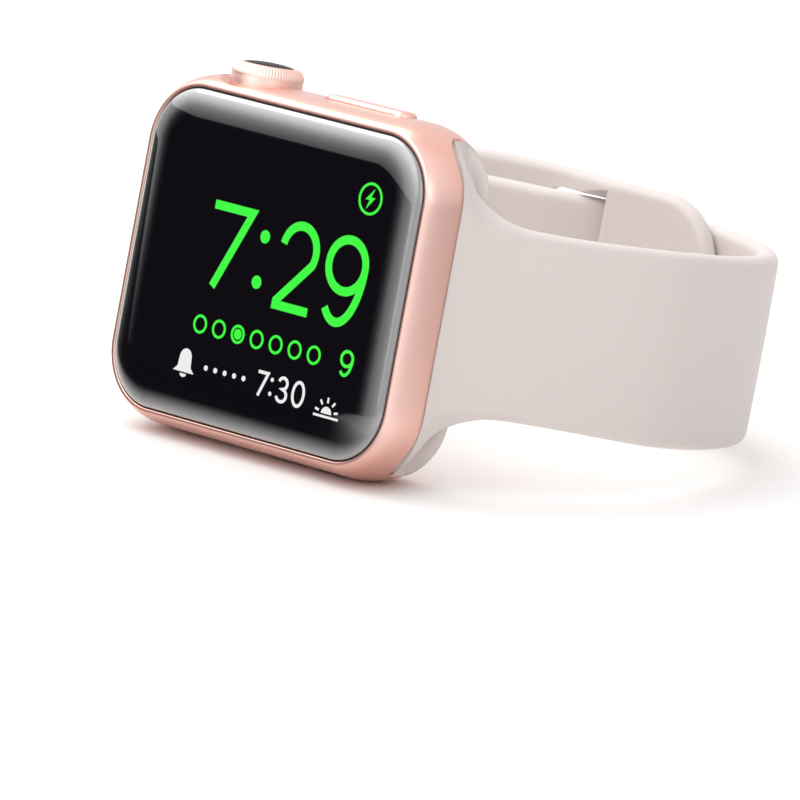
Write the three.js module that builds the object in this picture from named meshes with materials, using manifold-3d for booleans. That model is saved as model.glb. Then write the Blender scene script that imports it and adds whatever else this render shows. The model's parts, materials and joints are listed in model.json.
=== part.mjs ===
// A rectangular smartwatch on a closed pin-and-tuck rubber band, standing on the flank opposite its crown.
// Millimetres. Watch axes before the lean: +X from the twelve o'clock end to the six o'clock end,
// +Y from the glass into the watch, +Z from the lower flank to the crown side.
import * as THREE from "three";
import { mergeVertices } from "three/addons/utils/BufferGeometryUtils.js";
import Module from "manifold-3d";

const wasm = await Module();
wasm.setup();

// ---------------------------------------------------------------------------------------------
// Driving dimensions
// ---------------------------------------------------------------------------------------------

// The case outline at its widest line, and how far the flank has fallen in at each depth.
const CASE_HALF_X = 19.3;
const CASE_HALF_Z = 16.65;
const CASE_CORNER = 7.2;
const CASE_BACK = 9.2;
const FLANK = [
  [0, 1.15],
  [0.35, 0.86],
  [0.95, 0.54],
  [1.9, 0.24],
  [3.1, 0.05],
  [4.4, 0],
  [5.8, 0.06],
  [7.0, 0.32],
  [7.9, 0.78],
  [8.6, 1.5],
  [9.0, 2.3],
  [CASE_BACK, 3.1],
];

// Insets from the widest line that the pieces of the front share.
const APERTURE_INSET = 1.42;
const GASKET_INSETS = [1.45, 1.66];
const GLASS_INSET = 1.7;
const GLASS_BACK = 0.9;
const GLASS_DOME = [
  [GLASS_BACK, 0.5],
  [0.55, 0.05],
  [0.05, 0],
  [-0.22, 0.24],
  [-0.45, 0.7],
  [-0.64, 1.4],
  [-0.78, 2.3],
  [-0.86, 3.3],
  [-0.9, 4.4],
];
const PANEL_POCKET_INSET = 2.6;
const PANEL_POCKET_DEPTH = 1.95;
const CAVITY = { halfX: 13.0, halfZ: 13.9, corner: 2.5, back: 8.0 };

// The lug groove: a round channel behind a narrower mouth, open at both ends.
const GROOVE = { x: 17.75, y: 5.7, radius: 2.3, mouth: 2.1 };
const LUG_CLEARANCE = 0.12;
const RELEASE = { x: 14.5, halfWidth: 0.75, halfLength: 2.6, floor: 6.5 };

// The crown and the side button, both on the +Z flank.
const CONTROL_DEPTH = 4.5;
const CROWN = { x: -8.9, radius: 3.4, bottom: 16.0, shoulder: 17.2, top: 18.2, recess: 15.45 };
const BUTTON = { x: 5.0, halfLength: 5.35, halfHeight: 1.3, bottom: 15.95, top: 16.95, recess: 15.5 };

// The back.
const BACK_RADIUS = 12.5;
const WINDOW_RADIUS = 7.6;
const WINDOW_TOP = 10.55;

// The band: its outer surface seen from the crown side, as two curves from the six o'clock lug
// to the widest point and on to the middle of the back. Each reach is the length of a curve handle.
const BAND_START = [19.3, 3.75];
const BAND_START_HANDLE = [0.8, 2.35];
const BAND_WIDEST = [30.4, 23.9];
const BAND_WIDEST_REACH = [5.8, 18.8];
const BAND_BACK = 48.5;
const BAND_BACK_REACH = 19.8;
const BAND_THICKNESS = 2.2;
const LAYER_STEP = 2.38;
const CLOSURE_LIFT = 1.2;
const SLOT = { from: 67.4, to: 78.6, halfWidth: 8.85 };
const CROSSING = { from: 67.9, to: 78.1 };
const PIN_AT = 61;
const PIN_STRAP_END = 52;
const TAIL_END = 100;
const HOLE_PITCH = 6.5;
const HOLE_COUNT = 7;
const HOLE_RADIUS = 1.75;

// ---------------------------------------------------------------------------------------------
// Solids
// ---------------------------------------------------------------------------------------------

// Any closed three.js geometry as a manifold solid, with its faces turned outward.
function toSolid(geometry) {
  const bare = new THREE.BufferGeometry();
  const source = geometry.index ? geometry.toNonIndexed() : geometry;
  bare.setAttribute("position", source.getAttribute("position").clone());
  const merged = mergeVertices(bare, 1e-4);
  const position = merged.attributes.position;
  const index = merged.index.array;
  const corners = [new THREE.Vector3(), new THREE.Vector3(), new THREE.Vector3()];
  const kept = [];
  let volume = 0;
  for (let i = 0; i < index.length; i += 3) {
    const [a, b, c] = [index[i], index[i + 1], index[i + 2]];
    if (a === b || b === c || c === a) continue;
    kept.push(a, b, c);
    [a, b, c].forEach((vertex, k) => corners[k].fromBufferAttribute(position, vertex));
    volume += corners[0].dot(corners[1].clone().cross(corners[2])) / 6;
  }
  if (volume < 0) kept.reverse();
  return new wasm.Manifold(
    new wasm.Mesh({
      numProp: 3,
      vertProperties: position.array,
      triVerts: new Uint32Array(kept),
    }),
  );
}

// A manifold solid as a flat-shaded three.js geometry.
function toGeometry(solid) {
  const made = solid.getMesh();
  const stride = made.numProp;
  const positions = new Float32Array(made.numVert * 3);
  for (let i = 0; i < made.numVert; i++) {
    positions.set(made.vertProperties.subarray(i * stride, i * stride + 3), i * 3);
  }
  const geometry = new THREE.BufferGeometry();
  geometry.setAttribute("position", new THREE.BufferAttribute(positions, 3));
  geometry.setIndex(new THREE.BufferAttribute(new Uint32Array(made.triVerts), 1));
  const flat = geometry.toNonIndexed();
  flat.computeVertexNormals();
  return flat;
}

// A body through rings of equal count, closed by a fan at each end.
function loft(rings) {
  const count = rings[0].length;
  const positions = [];
  const index = [];
  for (const ring of rings) {
    for (const point of ring) positions.push(point.x, point.y, point.z);
  }
  const ends = [rings[0], rings[rings.length - 1]].map((ring) => {
    const centre = new THREE.Vector3();
    ring.forEach((point) => centre.addScaledVector(point, 1 / count));
    positions.push(centre.x, centre.y, centre.z);
    return positions.length / 3 - 1;
  });
  const last = (rings.length - 1) * count;
  for (let i = 0; i < count; i++) {
    const next = (i + 1) % count;
    for (let r = 0; r < rings.length - 1; r++) {
      const low = r * count;
      const high = low + count;
      index.push(low + i, low + next, high + next);
      index.push(low + i, high + next, high + i);
    }
    index.push(ends[0], next, i);
    index.push(ends[1], last + i, last + next);
  }
  const geometry = new THREE.BufferGeometry();
  geometry.setAttribute("position", new THREE.Float32BufferAttribute(positions, 3));
  geometry.setIndex(index);
  return toSolid(geometry);
}

// A rounded rectangle in the XZ plane at depth y.
function roundedRing(halfX, halfZ, corner, y, steps = 5) {
  const quarters = [
    [1, 1],
    [-1, 1],
    [-1, -1],
    [1, -1],
  ];
  return quarters.flatMap(([signX, signZ], quarter) =>
    Array.from({ length: steps + 1 }, (_, i) => {
      const angle = ((quarter + i / steps) * Math.PI) / 2;
      return new THREE.Vector3(
        signX * (halfX - corner) + corner * Math.cos(angle),
        y,
        signZ * (halfZ - corner) + corner * Math.sin(angle),
      );
    }),
  );
}

// The case outline fallen in by an inset, so every piece of the front keeps the same corner centres.
function caseRing(inset, y) {
  return roundedRing(CASE_HALF_X - inset, CASE_HALF_Z - inset, CASE_CORNER - inset, y);
}

function caseLayer(inset, front, back) {
  return loft([caseRing(inset, front), caseRing(inset, back)]);
}

// A block given by its two corners.
function block(low, high) {
  const size = high.map((value, axis) => value - low[axis]);
  const geometry = new THREE.BoxGeometry(...size);
  geometry.translate(...low.map((value, axis) => value + size[axis] / 2));
  return toSolid(geometry);
}

// A turned piece. The profile is (radius, height) and the axis is watch Y through (x, z).
function turnedAlongY(profile, x, z, segments = 24) {
  const points = profile.map(([radius, height]) => new THREE.Vector2(radius, height));
  const geometry = new THREE.LatheGeometry(points, segments);
  geometry.translate(x, 0, z);
  return toSolid(geometry);
}

// The same with the axis along watch Z through (x, y), heights counted along +Z.
function turnedAlongZ(profile, x, y, segments = 24) {
  const points = profile.map(([radius, height]) => new THREE.Vector2(radius, height));
  const geometry = new THREE.LatheGeometry(points, segments);
  geometry.rotateX(Math.PI / 2);
  geometry.translate(x, y, 0);
  return toSolid(geometry);
}

function disc(radius, low, high) {
  return [
    [0, low],
    [radius, low],
    [radius, high],
    [0, high],
  ];
}

function ring(inner, outer, low, high) {
  return [
    [inner, low],
    [outer, low],
    [outer, high],
    [inner, high],
    [inner, low],
  ];
}

function roundSection(major, minor, height, steps = 8) {
  return Array.from({ length: steps + 1 }, (_, i) => {
    const angle = (i / steps) * 2 * Math.PI;
    return [major + minor * Math.cos(angle), height + minor * Math.sin(angle)];
  });
}

// A pill outline with its long side along X, in the XY plane at height z.
function pillRing(x, y, halfLength, halfHeight, z, steps = 6) {
  const straight = halfLength - halfHeight;
  return [1, -1].flatMap((side) =>
    Array.from({ length: steps + 1 }, (_, i) => {
      const angle = -Math.PI / 2 + (i / steps) * Math.PI + (side < 0 ? Math.PI : 0);
      return new THREE.Vector3(
        x + side * straight + halfHeight * Math.cos(angle),
        y + halfHeight * Math.sin(angle),
        z,
      );
    }),
  );
}

function pillThroughFlank(x, halfLength, halfHeight, low, high) {
  return loft([
    pillRing(x, CONTROL_DEPTH, halfLength, halfHeight, low),
    pillRing(x, CONTROL_DEPTH, halfLength, halfHeight, high),
  ]);
}

// A pill with its long side along Z, running from depth low to depth high.
function pillAlongDepth(x, halfWidth, halfLength, low, high) {
  const rings = [low, high].map((y) => roundedRing(halfWidth, halfLength, halfWidth - 0.01, y, 4));
  rings.forEach((points) => points.forEach((point) => point.setX(point.x + x)));
  return loft(rings);
}

// A prism of an outline drawn in the XY plane, running along Z.
function prismAlongZ(outline, low, high) {
  const shape = new THREE.Shape(outline.map(([x, y]) => new THREE.Vector2(x, y)));
  const geometry = new THREE.ExtrudeGeometry(shape, { depth: high - low, bevelEnabled: false });
  geometry.translate(0, 0, low);
  return toSolid(geometry);
}

// ---------------------------------------------------------------------------------------------
// Materials
// ---------------------------------------------------------------------------------------------

function finish(color, roughness, metalness) {
  return new THREE.MeshStandardMaterial({ color, roughness, metalness });
}

const ROSE_ALUMINIUM = finish("#e8b8ac", 0.35, 1);
const DARK_DISC = finish("#5a4240", 0.3, 0.6);
const BLACK_GLASS = finish("#0b0a0d", 0.05, 0);
const BLACK_RUBBER = finish("#141316", 0.7, 0);
const BAND_RUBBER = finish("#dfd3cd", 0.6, 0);
const BLACK_PLASTIC = finish("#1d1c20", 0.45, 0);
const STEEL = finish("#b9b9bc", 0.3, 1);
const CERAMIC = finish("#d9d4d2", 0.2, 0);
const BOARD_GREEN = finish("#1c4a33", 0.5, 0);
const COPPER = finish("#b87333", 0.35, 1);
const CELL_FOIL = finish("#8f9094", 0.5, 0.4);
const CHIP_BLACK = finish("#26262a", 0.4, 0);
const LENS_GREEN = finish("#3f7d4a", 0.2, 0);

const group = new THREE.Group();
group.name = "smartwatch";

function add(name, solid, material) {
  const mesh = new THREE.Mesh(toGeometry(solid), material);
  mesh.name = name;
  group.add(mesh);
}

// ---------------------------------------------------------------------------------------------
// The case and what closes it at the front and the back
// ---------------------------------------------------------------------------------------------

// The groove section, grown or shrunk by an offset, running out past the flank.
function grooveOutline(side, offset, reach) {
  const radius = GROOVE.radius + offset;
  const mouth = GROOVE.mouth + offset;
  const start = Math.asin(mouth / radius);
  const steps = 14;
  const points = [[reach, GROOVE.y - mouth]];
  for (let i = 0; i <= steps; i++) {
    const angle = start + (i / steps) * (2 * Math.PI - 2 * start);
    points.push([GROOVE.x + radius * Math.cos(angle), GROOVE.y - radius * Math.sin(angle)]);
  }
  points.push([reach, GROOVE.y + mouth]);
  return points.map(([x, y]) => [side * x, y]);
}

function makeCase() {
  const outer = loft(FLANK.map(([y, inset]) => caseRing(inset, y)));
  const cuts = [
    caseLayer(APERTURE_INSET, -1, 1.0),
    caseLayer(PANEL_POCKET_INSET, 0.5, PANEL_POCKET_DEPTH),
    loft(
      [1, CAVITY.back].map((y) => roundedRing(CAVITY.halfX, CAVITY.halfZ, CAVITY.corner, y)),
    ),
    turnedAlongY(disc(BACK_RADIUS, 8.7, 10), 0, 0, 48),
    turnedAlongY(disc(11.7, 7, 9), 0, 0, 48),
    turnedAlongZ(disc(CROWN.radius + 0.2, CROWN.recess, 19), CROWN.x, CONTROL_DEPTH, 36),
    turnedAlongZ(disc(1.75, 13, 16), CROWN.x, CONTROL_DEPTH, 20),
    pillThroughFlank(BUTTON.x, BUTTON.halfLength + 0.08, BUTTON.halfHeight + 0.08, BUTTON.recess, 18),
    turnedAlongZ(disc(0.8, 13, 16), BUTTON.x, CONTROL_DEPTH, 14),
    pillThroughFlank(3.3, 2.1, 0.5, -18, -13),
    pillThroughFlank(8.3, 2.1, 0.5, -18, -13),
    turnedAlongZ(disc(0.4, -18, -13), 0.7, CONTROL_DEPTH, 12),
  ];
  for (const side of [-1, 1]) {
    cuts.push(prismAlongZ(grooveOutline(side, 0, 22), -18, 18));
    cuts.push(
      pillAlongDepth(side * RELEASE.x, RELEASE.halfWidth, RELEASE.halfLength, RELEASE.floor, 10),
    );
  }
  return cuts.reduce((body, cut) => body.subtract(cut), outer);
}

function addFront() {
  add("case", makeCase(), ROSE_ALUMINIUM);
  const gasket = caseLayer(GASKET_INSETS[0], 0.06, 0.92).subtract(caseLayer(GASKET_INSETS[1], -1, 2));
  add("display_gasket", gasket, BLACK_RUBBER);
  const dome = GLASS_DOME.map(([y, inset]) => caseRing(GLASS_INSET + inset, y));
  add("display_glass", loft(dome), BLACK_GLASS);
  add("display_panel", caseLayer(3.0, 0.95, 1.35), BLACK_PLASTIC);
  const carrier = caseLayer(2.7, 1.4, 1.88).subtract(caseLayer(4.6, 1, 3));
  add("display_frame", carrier, BLACK_PLASTIC);
}

function addBack() {
  add("back_gasket", turnedAlongY(ring(11.8, 12.4, 8.73, 8.87), 0, 0, 40), BLACK_RUBBER);
  const cover = [
    [WINDOW_RADIUS + 0.1, 8.92],
    [12.4, 8.92],
    [12.4, 9.2],
    [12.1, 9.38],
    [11.0, 9.68],
    [9.4, 9.98],
    [WINDOW_RADIUS + 0.1, 10.2],
    [WINDOW_RADIUS + 0.1, 8.92],
  ];
  add("back_cover", turnedAlongY(cover, 0, 0, 48), CERAMIC);
  const lens = [
    [0, 9.2],
    [6.6, 9.2],
    [6.6, 8.92],
    [WINDOW_RADIUS, 8.92],
    [WINDOW_RADIUS, 10.22],
    [6.0, 10.42],
    [4.4, WINDOW_TOP],
    [0, WINDOW_TOP],
  ];
  add("sensor_window", turnedAlongY(lens, 0, 0, 36), BLACK_GLASS);
  for (const [name, side] of [
    ["release_button_6", 1],
    ["release_button_12", -1],
  ]) {
    const halfWidth = RELEASE.halfWidth - 0.08;
    const halfLength = RELEASE.halfLength - 0.08;
    const button = pillAlongDepth(side * RELEASE.x, halfWidth, halfLength, 7.1, 9.15);
    add(name, button, ROSE_ALUMINIUM);
  }
}

// ---------------------------------------------------------------------------------------------
// The crown and the side button
// ---------------------------------------------------------------------------------------------

function addCrown() {
  const turned = (profile, segments) => turnedAlongZ(profile, CROWN.x, CONTROL_DEPTH, segments);
  const knob = [
    [0, 17.0],
    [1.05, 17.0],
    [1.05, CROWN.bottom],
    [3.15, CROWN.bottom],
    [CROWN.radius, 16.25],
    [CROWN.radius, CROWN.shoulder],
    [3.33, 17.5],
    [3.15, 17.9],
    [2.88, CROWN.top - 0.08],
    [2.56, CROWN.top],
    [2.46, CROWN.top],
    [2.4, 17.6],
    [0, 17.6],
  ];
  const domedDisc = [
    [0, 17.65],
    [2.33, 17.65],
    [2.33, 18.12],
    [2.0, 18.25],
    [1.3, 18.36],
    [0.6, 18.41],
    [0, 18.42],
  ];
  add("crown_knob", turned(knob, 40), ROSE_ALUMINIUM);
  add("crown_disc", turned(domedDisc, 28), DARK_DISC);
  add("crown_shaft", turned(disc(1.0, 11.9, 16.95), 20), STEEL);
  const bush = [
    [1.08, 13.3],
    [2.0, 13.3],
    [2.0, 13.85],
    [1.7, 13.85],
    [1.7, 15.42],
    [1.52, 15.42],
    [1.52, 14.85],
    [1.08, 14.85],
    [1.08, 13.3],
  ];
  add("crown_bush", turned(bush, 20), STEEL);
  add("crown_seal", turned(roundSection(1.27, 0.2, 15.12), 16), BLACK_RUBBER);
  add("crown_encoder", turned(ring(1.05, 2.1, 12.3, 12.8), 24), CHIP_BLACK);
  add("crown_thrust_plate", turned(disc(1.4, 11.55, 11.85), 20), STEEL);
  const switchBody = block([CROWN.x - 1.8, 3.1, 10.1], [CROWN.x + 1.8, 5.9, 11.08]);
  add("crown_switch", switchBody, CHIP_BLACK);
}

function addSideButton() {
  const levels = [
    [BUTTON.bottom, 0],
    [16.7, 0],
    [16.87, 0.1],
    [BUTTON.top, 0.3],
  ];
  const cap = levels.map(([z, inset]) =>
    pillRing(BUTTON.x, CONTROL_DEPTH, BUTTON.halfLength - inset, BUTTON.halfHeight - inset, z),
  );
  add("side_button", loft(cap), ROSE_ALUMINIUM);
  const turned = (profile, segments) => turnedAlongZ(profile, BUTTON.x, CONTROL_DEPTH, segments);
  add("side_button_stem", turned(disc(0.5, 13.2, 15.9), 14), STEEL);
  add("side_button_seal", turned(roundSection(0.65, 0.11, 14.6, 6), 14), BLACK_RUBBER);
  const switchBody = block([BUTTON.x - 1.5, 3.3, 12.0], [BUTTON.x + 1.5, 5.7, 12.85]);
  add("side_button_switch", switchBody, CHIP_BLACK);
}

// ---------------------------------------------------------------------------------------------
// Inside the case
// ---------------------------------------------------------------------------------------------

function addElectronics() {
  add("battery", block([-12.4, 2.1, -5.3], [3.4, 7.2, 9.4]), CELL_FOIL);
  const screws = [
    [5.2, -8.2],
    [11.6, -8.2],
    [8.4, 4.5],
  ];
  let board = block([4.2, 6.3, -9.0], [12.5, 6.9, 11.0]);
  screws.forEach(([x, z], i) => {
    board = board.subtract(turnedAlongY(disc(0.36, 6, 7.2), x, z, 12));
    const screw = [
      [0, 5.9],
      [0.55, 5.9],
      [0.55, 6.25],
      [0.3, 6.25],
      [0.3, 7.5],
      [0, 7.5],
    ];
    add(`board_screw_${i + 1}`, turnedAlongY(screw, x, z, 12), STEEL);
  });
  add("main_board", board, BOARD_GREEN);
  add("processor_module", block([4.8, 3.9, -7.2], [12.0, 6.25, 3.5]), CHIP_BLACK);
  add("radio_module", block([5.0, 4.6, 5.5], [11.6, 6.25, 9.6]), CHIP_BLACK);

  const ribbon = [
    [1.42, 10.0],
    [1.42, 11.8],
    [6.24, 11.8],
    [6.24, 10.0],
    [6.04, 10.0],
    [6.04, 11.6],
    [1.62, 11.6],
    [1.62, 10.0],
  ];
  const shape = new THREE.Shape(ribbon.map(([y, z]) => new THREE.Vector2(y, z)));
  const flex = new THREE.ExtrudeGeometry(shape, { depth: 3, bevelEnabled: false });
  flex.applyMatrix4(new THREE.Matrix4().set(0, 0, 1, 7.4, 1, 0, 0, 0, 0, 1, 0, 0, 0, 0, 0, 1));
  add("display_flex", toSolid(flex), COPPER);
}

function addSoundAndHaptics() {
  const tray = block([-11.7, 2.6, -12.4], [-0.6, 6.6, -5.8]);
  const hollow = block([-11.3, 2.2, -12.0], [-1.0, 6.2, -6.2]);
  add("haptic_housing", tray.subtract(hollow), STEEL);
  add("haptic_mass", block([-10.75, 2.9, -11.7], [-1.55, 5.9, -6.5]), CELL_FOIL);
  add("speaker_module", block([2.0, 2.4, -13.5], [9.2, 6.1, -9.4]), CHIP_BLACK);
  add("speaker_mesh", block([1.0, 3.7, -13.83], [9.6, 5.3, -13.58]), STEEL);
  add("microphone", block([-0.3, 3.8, -13.75], [0.9, 5.2, -12.3]), STEEL);
}

function addSensors() {
  add("sensor_board", turnedAlongY(disc(5.2, 7.5, 7.9), 0, 0, 28), BOARD_GREEN);
  for (const [name, x, z, material] of [
    ["sensor_led_left", -3, 0, LENS_GREEN],
    ["sensor_led_right", 3, 0, LENS_GREEN],
    ["photodiode_upper", 0, 3, CHIP_BLACK],
    ["photodiode_lower", 0, -3, CHIP_BLACK],
  ]) {
    add(name, block([x - 0.8, 7.98, z - 0.8], [x + 0.8, 8.5, z + 0.8]), material);
  }
  add("alignment_magnet", turnedAlongY(ring(5.6, 6.9, 7.4, 8.3), 0, 0, 28), STEEL);
  add("charging_coil", turnedAlongY(ring(7.3, 11.0, 7.5, 8.1), 0, 0, 36), COPPER);
}

// ---------------------------------------------------------------------------------------------
// The band
// ---------------------------------------------------------------------------------------------

// The right half runs away from the lug; the left half is its mirror, run backwards.
function bandHalf() {
  const [startX, startY] = BAND_START;
  const [wideX, wideY] = BAND_WIDEST;
  const lower = [
    [startX, startY],
    [startX + BAND_START_HANDLE[0], startY + BAND_START_HANDLE[1]],
    [wideX, wideY - BAND_WIDEST_REACH[0]],
    [wideX, wideY],
  ];
  const upper = [
    [wideX, wideY],
    [wideX, wideY + BAND_WIDEST_REACH[1]],
    [BAND_BACK_REACH, BAND_BACK],
    [0, BAND_BACK],
  ];
  return [lower, upper];
}

const LOOP = new THREE.CurvePath();
const half = bandHalf();
const mirrored = half.map((points) => points.map(([x, y]) => [-x, y]).reverse()).reverse();
for (const points of [...half, ...mirrored]) {
  const curve = new THREE.CubicBezierCurve(...points.map(([x, y]) => new THREE.Vector2(x, y)));
  curve.arcLengthDivisions = 800;
  LOOP.add(curve);
}
LOOP.arcLengthDivisions = 1600;
const LOOP_LENGTH = LOOP.getLength();

function smooth(from, to, value) {
  return THREE.MathUtils.smoothstep(value, from, to);
}

// A point of the band at travel s from the six o'clock lug, an inset below the outer surface, at height z.
function bandPoint(s, inset, z) {
  const u = THREE.MathUtils.clamp(s / LOOP_LENGTH, 0, 1);
  const point = LOOP.getPointAt(u);
  const tangent = LOOP.getTangentAt(u);
  return new THREE.Vector3(point.x - tangent.y * inset, point.y + tangent.x * inset, z);
}

// How far the whole band has climbed toward the crown side where its two ends cross.
function lift(s) {
  return CLOSURE_LIFT * smooth(26, 60, s) * (1 - smooth(80, 118, s));
}

// One cross-section: a flat bar with rounded edges.
function bandSection(s, centreInset, halfWidth, thickness) {
  const edge = Math.min(0.85, thickness / 2 - 0.05, halfWidth / 2);
  const half = thickness / 2;
  const corners = [
    [halfWidth - edge, half - edge, 0],
    [-halfWidth + edge, half - edge, 1],
    [-halfWidth + edge, -half + edge, 2],
    [halfWidth - edge, -half + edge, 3],
  ];
  return corners.flatMap(([across, through, quarter]) =>
    [0, 1, 2, 3].map((i) => {
      const angle = ((quarter + i / 3) * Math.PI) / 2;
      const z = lift(s) + across + edge * Math.cos(angle);
      return bandPoint(s, centreInset + through + edge * Math.sin(angle), z);
    }),
  );
}

// The share of the full width at a distance from a rounded end.
function roundedEnd(distance, length) {
  const t = THREE.MathUtils.clamp(1 - distance / length, 0, 1);
  return Math.pow(1 - Math.pow(t, 2.3), 1 / 2.3);
}

function stations(from, to, step, extra) {
  const count = Math.round(Math.abs(to - from) / step);
  const even = Array.from({ length: count + 1 }, (_, i) => from + ((to - from) * i) / count);
  const all = [...even, ...extra].sort((a, b) => a - b);
  return all.filter((s, i) => i === 0 || s - all[i - 1] > 0.12);
}

// Half the width at a travel from the strap's own lug.
function flare(travel) {
  return 8.75 + 0.35 * smooth(10, 26, travel) + 3.0 * Math.pow(Math.max(0, 1 - travel / 5), 2);
}

function lug(side) {
  const mouth = GROOVE.mouth - LUG_CLEARANCE;
  const inside = grooveOutline(1, -LUG_CLEARANCE, 19.2);
  const outside = [
    [19.7, GROOVE.y + mouth],
    [20.4, 8.0],
    [21.0, 7.5],
    [21.2, 7.0],
    [20.2, 5.3],
    [19.45, 4.05],
  ];
  const section = [...inside, ...outside].map(([x, y]) => [side * x, y]);
  const plan = [
    [15.0, 15.85],
    [16.5, 15.3],
    [17.8, 14.4],
    [18.9, 13.2],
    [19.6, 12.1],
    [20.3, 11.3],
    [21.3, 10.6],
  ];
  const outline = [...plan, ...plan.map(([x, z]) => [x, -z]).reverse()];
  const rings = [2, 10].map((y) => outline.map(([x, z]) => new THREE.Vector3(side * x, y, z)));
  return prismAlongZ(section, -16, 16).intersect(loft(rings));
}

function crossing(s) {
  return LAYER_STEP * smooth(CROSSING.from, CROSSING.to, s);
}

// A tool along the band's own normal: a rounded bar of the given half sizes through every layer.
function throughBand(s, halfTravel, halfWidth, corner, steps) {
  const outer = bandPoint(s, -4, lift(s));
  const inner = bandPoint(s, 8, lift(s));
  const normal = outer.clone().sub(inner).normalize();
  const along = new THREE.Vector3(0, 0, 1).cross(normal);
  const rings = [outer, inner].map((centre) =>
    roundedRing(halfTravel, halfWidth, corner, 0, steps).map((point) =>
      centre.clone().addScaledVector(along, point.x).add(new THREE.Vector3(0, 0, point.z)),
    ),
  );
  return loft(rings);
}

function makeHoleStrap() {
  const ends = [98.6, 99.4, 99.8, 99.97];
  const marks = stations(0.2, TAIL_END - 0.03, 3.3, [1.2, 2.2, 3.2, 69, 72, 74.5, 77, ...ends]);
  const sections = marks.map((s) => {
    const taper = 1 - 0.065 * smooth(20, 95, s);
    const halfWidth = flare(s) * taper * roundedEnd(TAIL_END - s + 0.02, 7);
    const thickness = BAND_THICKNESS - 0.5 * smooth(90, TAIL_END, s);
    return bandSection(s, BAND_THICKNESS / 2 + 0.02 + crossing(s), Math.max(halfWidth, 0.9), thickness);
  });
  let body = loft(sections).add(lug(1));
  for (let i = 0; i < HOLE_COUNT; i++) {
    const s = PIN_AT + (i - 1) * HOLE_PITCH;
    body = body.subtract(throughBand(s, HOLE_RADIUS + 0.2, HOLE_RADIUS, HOLE_RADIUS - 0.01, 4));
  }
  return body;
}

function makePinStrap() {
  const ends = [52.05, 52.3, 52.8, 53.8, 55, 56.5];
  const marks = stations(PIN_STRAP_END + 0.03, LOOP_LENGTH - 0.2, 3.3, [
    ...ends,
    69,
    72,
    74.5,
    77,
    LOOP_LENGTH - 3.2,
    LOOP_LENGTH - 2.2,
    LOOP_LENGTH - 1.2,
  ]);
  const sections = marks.map((s) => {
    const wide = 1.75 * (1 - smooth(84, 116, s));
    const tip = roundedEnd(s - PIN_STRAP_END + 0.02, 9.5);
    const halfWidth = (flare(LOOP_LENGTH - s) + wide) * tip;
    const thickness = BAND_THICKNESS - 0.5 * (1 - smooth(PIN_STRAP_END, 60, s));
    const inset = BAND_THICKNESS / 2 + 0.02 + LAYER_STEP - crossing(s);
    return bandSection(s, inset, Math.max(halfWidth, 0.9), thickness);
  });
  const middle = (SLOT.from + SLOT.to) / 2;
  const slot = throughBand(middle, (SLOT.to - SLOT.from) / 2, SLOT.halfWidth, 1.2, 4);
  const pinHole = throughBand(PIN_AT, 1.45, 1.45, 1.44, 4);
  return loft(sections).add(lug(-1)).subtract(slot).subtract(pinHole);
}

// The stud: a head on the outer surface, a post through both layers and a flange on the inner face.
function makeStud() {
  const profile = [
    [0, -0.75],
    [2.2, -0.72],
    [2.75, -0.5],
    [2.8, -0.06],
    [1.35, -0.06],
    [1.35, LAYER_STEP + BAND_THICKNESS + 0.08],
    [2.4, LAYER_STEP + BAND_THICKNESS + 0.08],
    [2.4, LAYER_STEP + BAND_THICKNESS + 0.45],
    [0, LAYER_STEP + BAND_THICKNESS + 0.55],
  ];
  const points = profile.map(([radius, depth]) => new THREE.Vector2(radius, -depth));
  const geometry = new THREE.LatheGeometry(points, 24);
  const foot = bandPoint(PIN_AT, 0, lift(PIN_AT));
  const normal = foot.clone().sub(bandPoint(PIN_AT, 1, lift(PIN_AT)));
  const turn = new THREE.Quaternion().setFromUnitVectors(new THREE.Vector3(0, 1, 0), normal);
  geometry.applyQuaternion(turn);
  geometry.translate(foot.x, foot.y, foot.z);
  return toSolid(geometry);
}

addFront();
addBack();
addCrown();
addSideButton();
addElectronics();
addSoundAndHaptics();
addSensors();
add("strap_holes", makeHoleStrap(), BAND_RUBBER);
add("strap_pin", makePinStrap(), BAND_RUBBER);
add("pin_stud", makeStud(), ROSE_ALUMINIUM);

// ---------------------------------------------------------------------------------------------
// The stand: lean back until the lower flank and the band's lower edge both touch the ground,
// then put the middle of the footprint on the origin.
// ---------------------------------------------------------------------------------------------

function lowest(names, angle) {
  let low = Infinity;
  for (const mesh of group.children.filter((child) => names.includes(child.name))) {
    const position = mesh.geometry.attributes.position;
    for (let i = 0; i < position.count; i++) {
      const height = position.getZ(i) * Math.cos(angle) - position.getY(i) * Math.sin(angle);
      low = Math.min(low, height);
    }
  }
  return low;
}

function leanAngle() {
  let [small, large] = [0, Math.PI / 6];
  for (let i = 0; i < 40; i++) {
    const middle = (small + large) / 2;
    const bandTouches = lowest(["strap_holes", "strap_pin"], middle) < lowest(["case"], middle);
    if (bandTouches) large = middle;
    else small = middle;
  }
  return (small + large) / 2;
}

group.rotation.x = -leanAngle();
group.updateMatrixWorld(true);
const box = new THREE.Box3().setFromObject(group, true);
group.position.set(-(box.min.x + box.max.x) / 2, -(box.min.y + box.max.y) / 2, -box.min.z);
group.updateMatrixWorld(true);

export default group;
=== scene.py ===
# %% [markdown]
# # A smartwatch standing on its flank, its band closed
# The watch is a rounded aluminium case with a domed black glass, a crown and a pill button on one flank,
# and a moulded rubber band that closes on itself with a stud. It stands crown side up, leaning back
# until the lower flank and the lower edge of the band both touch the table.
# Everything that moves was settled in the frame that is loaded here. This lesson adds the surfaces.

# %% Load the frame
import json
import math

import bmesh
import bpy
import numpy as np
from mathutils import Matrix, Vector


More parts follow.
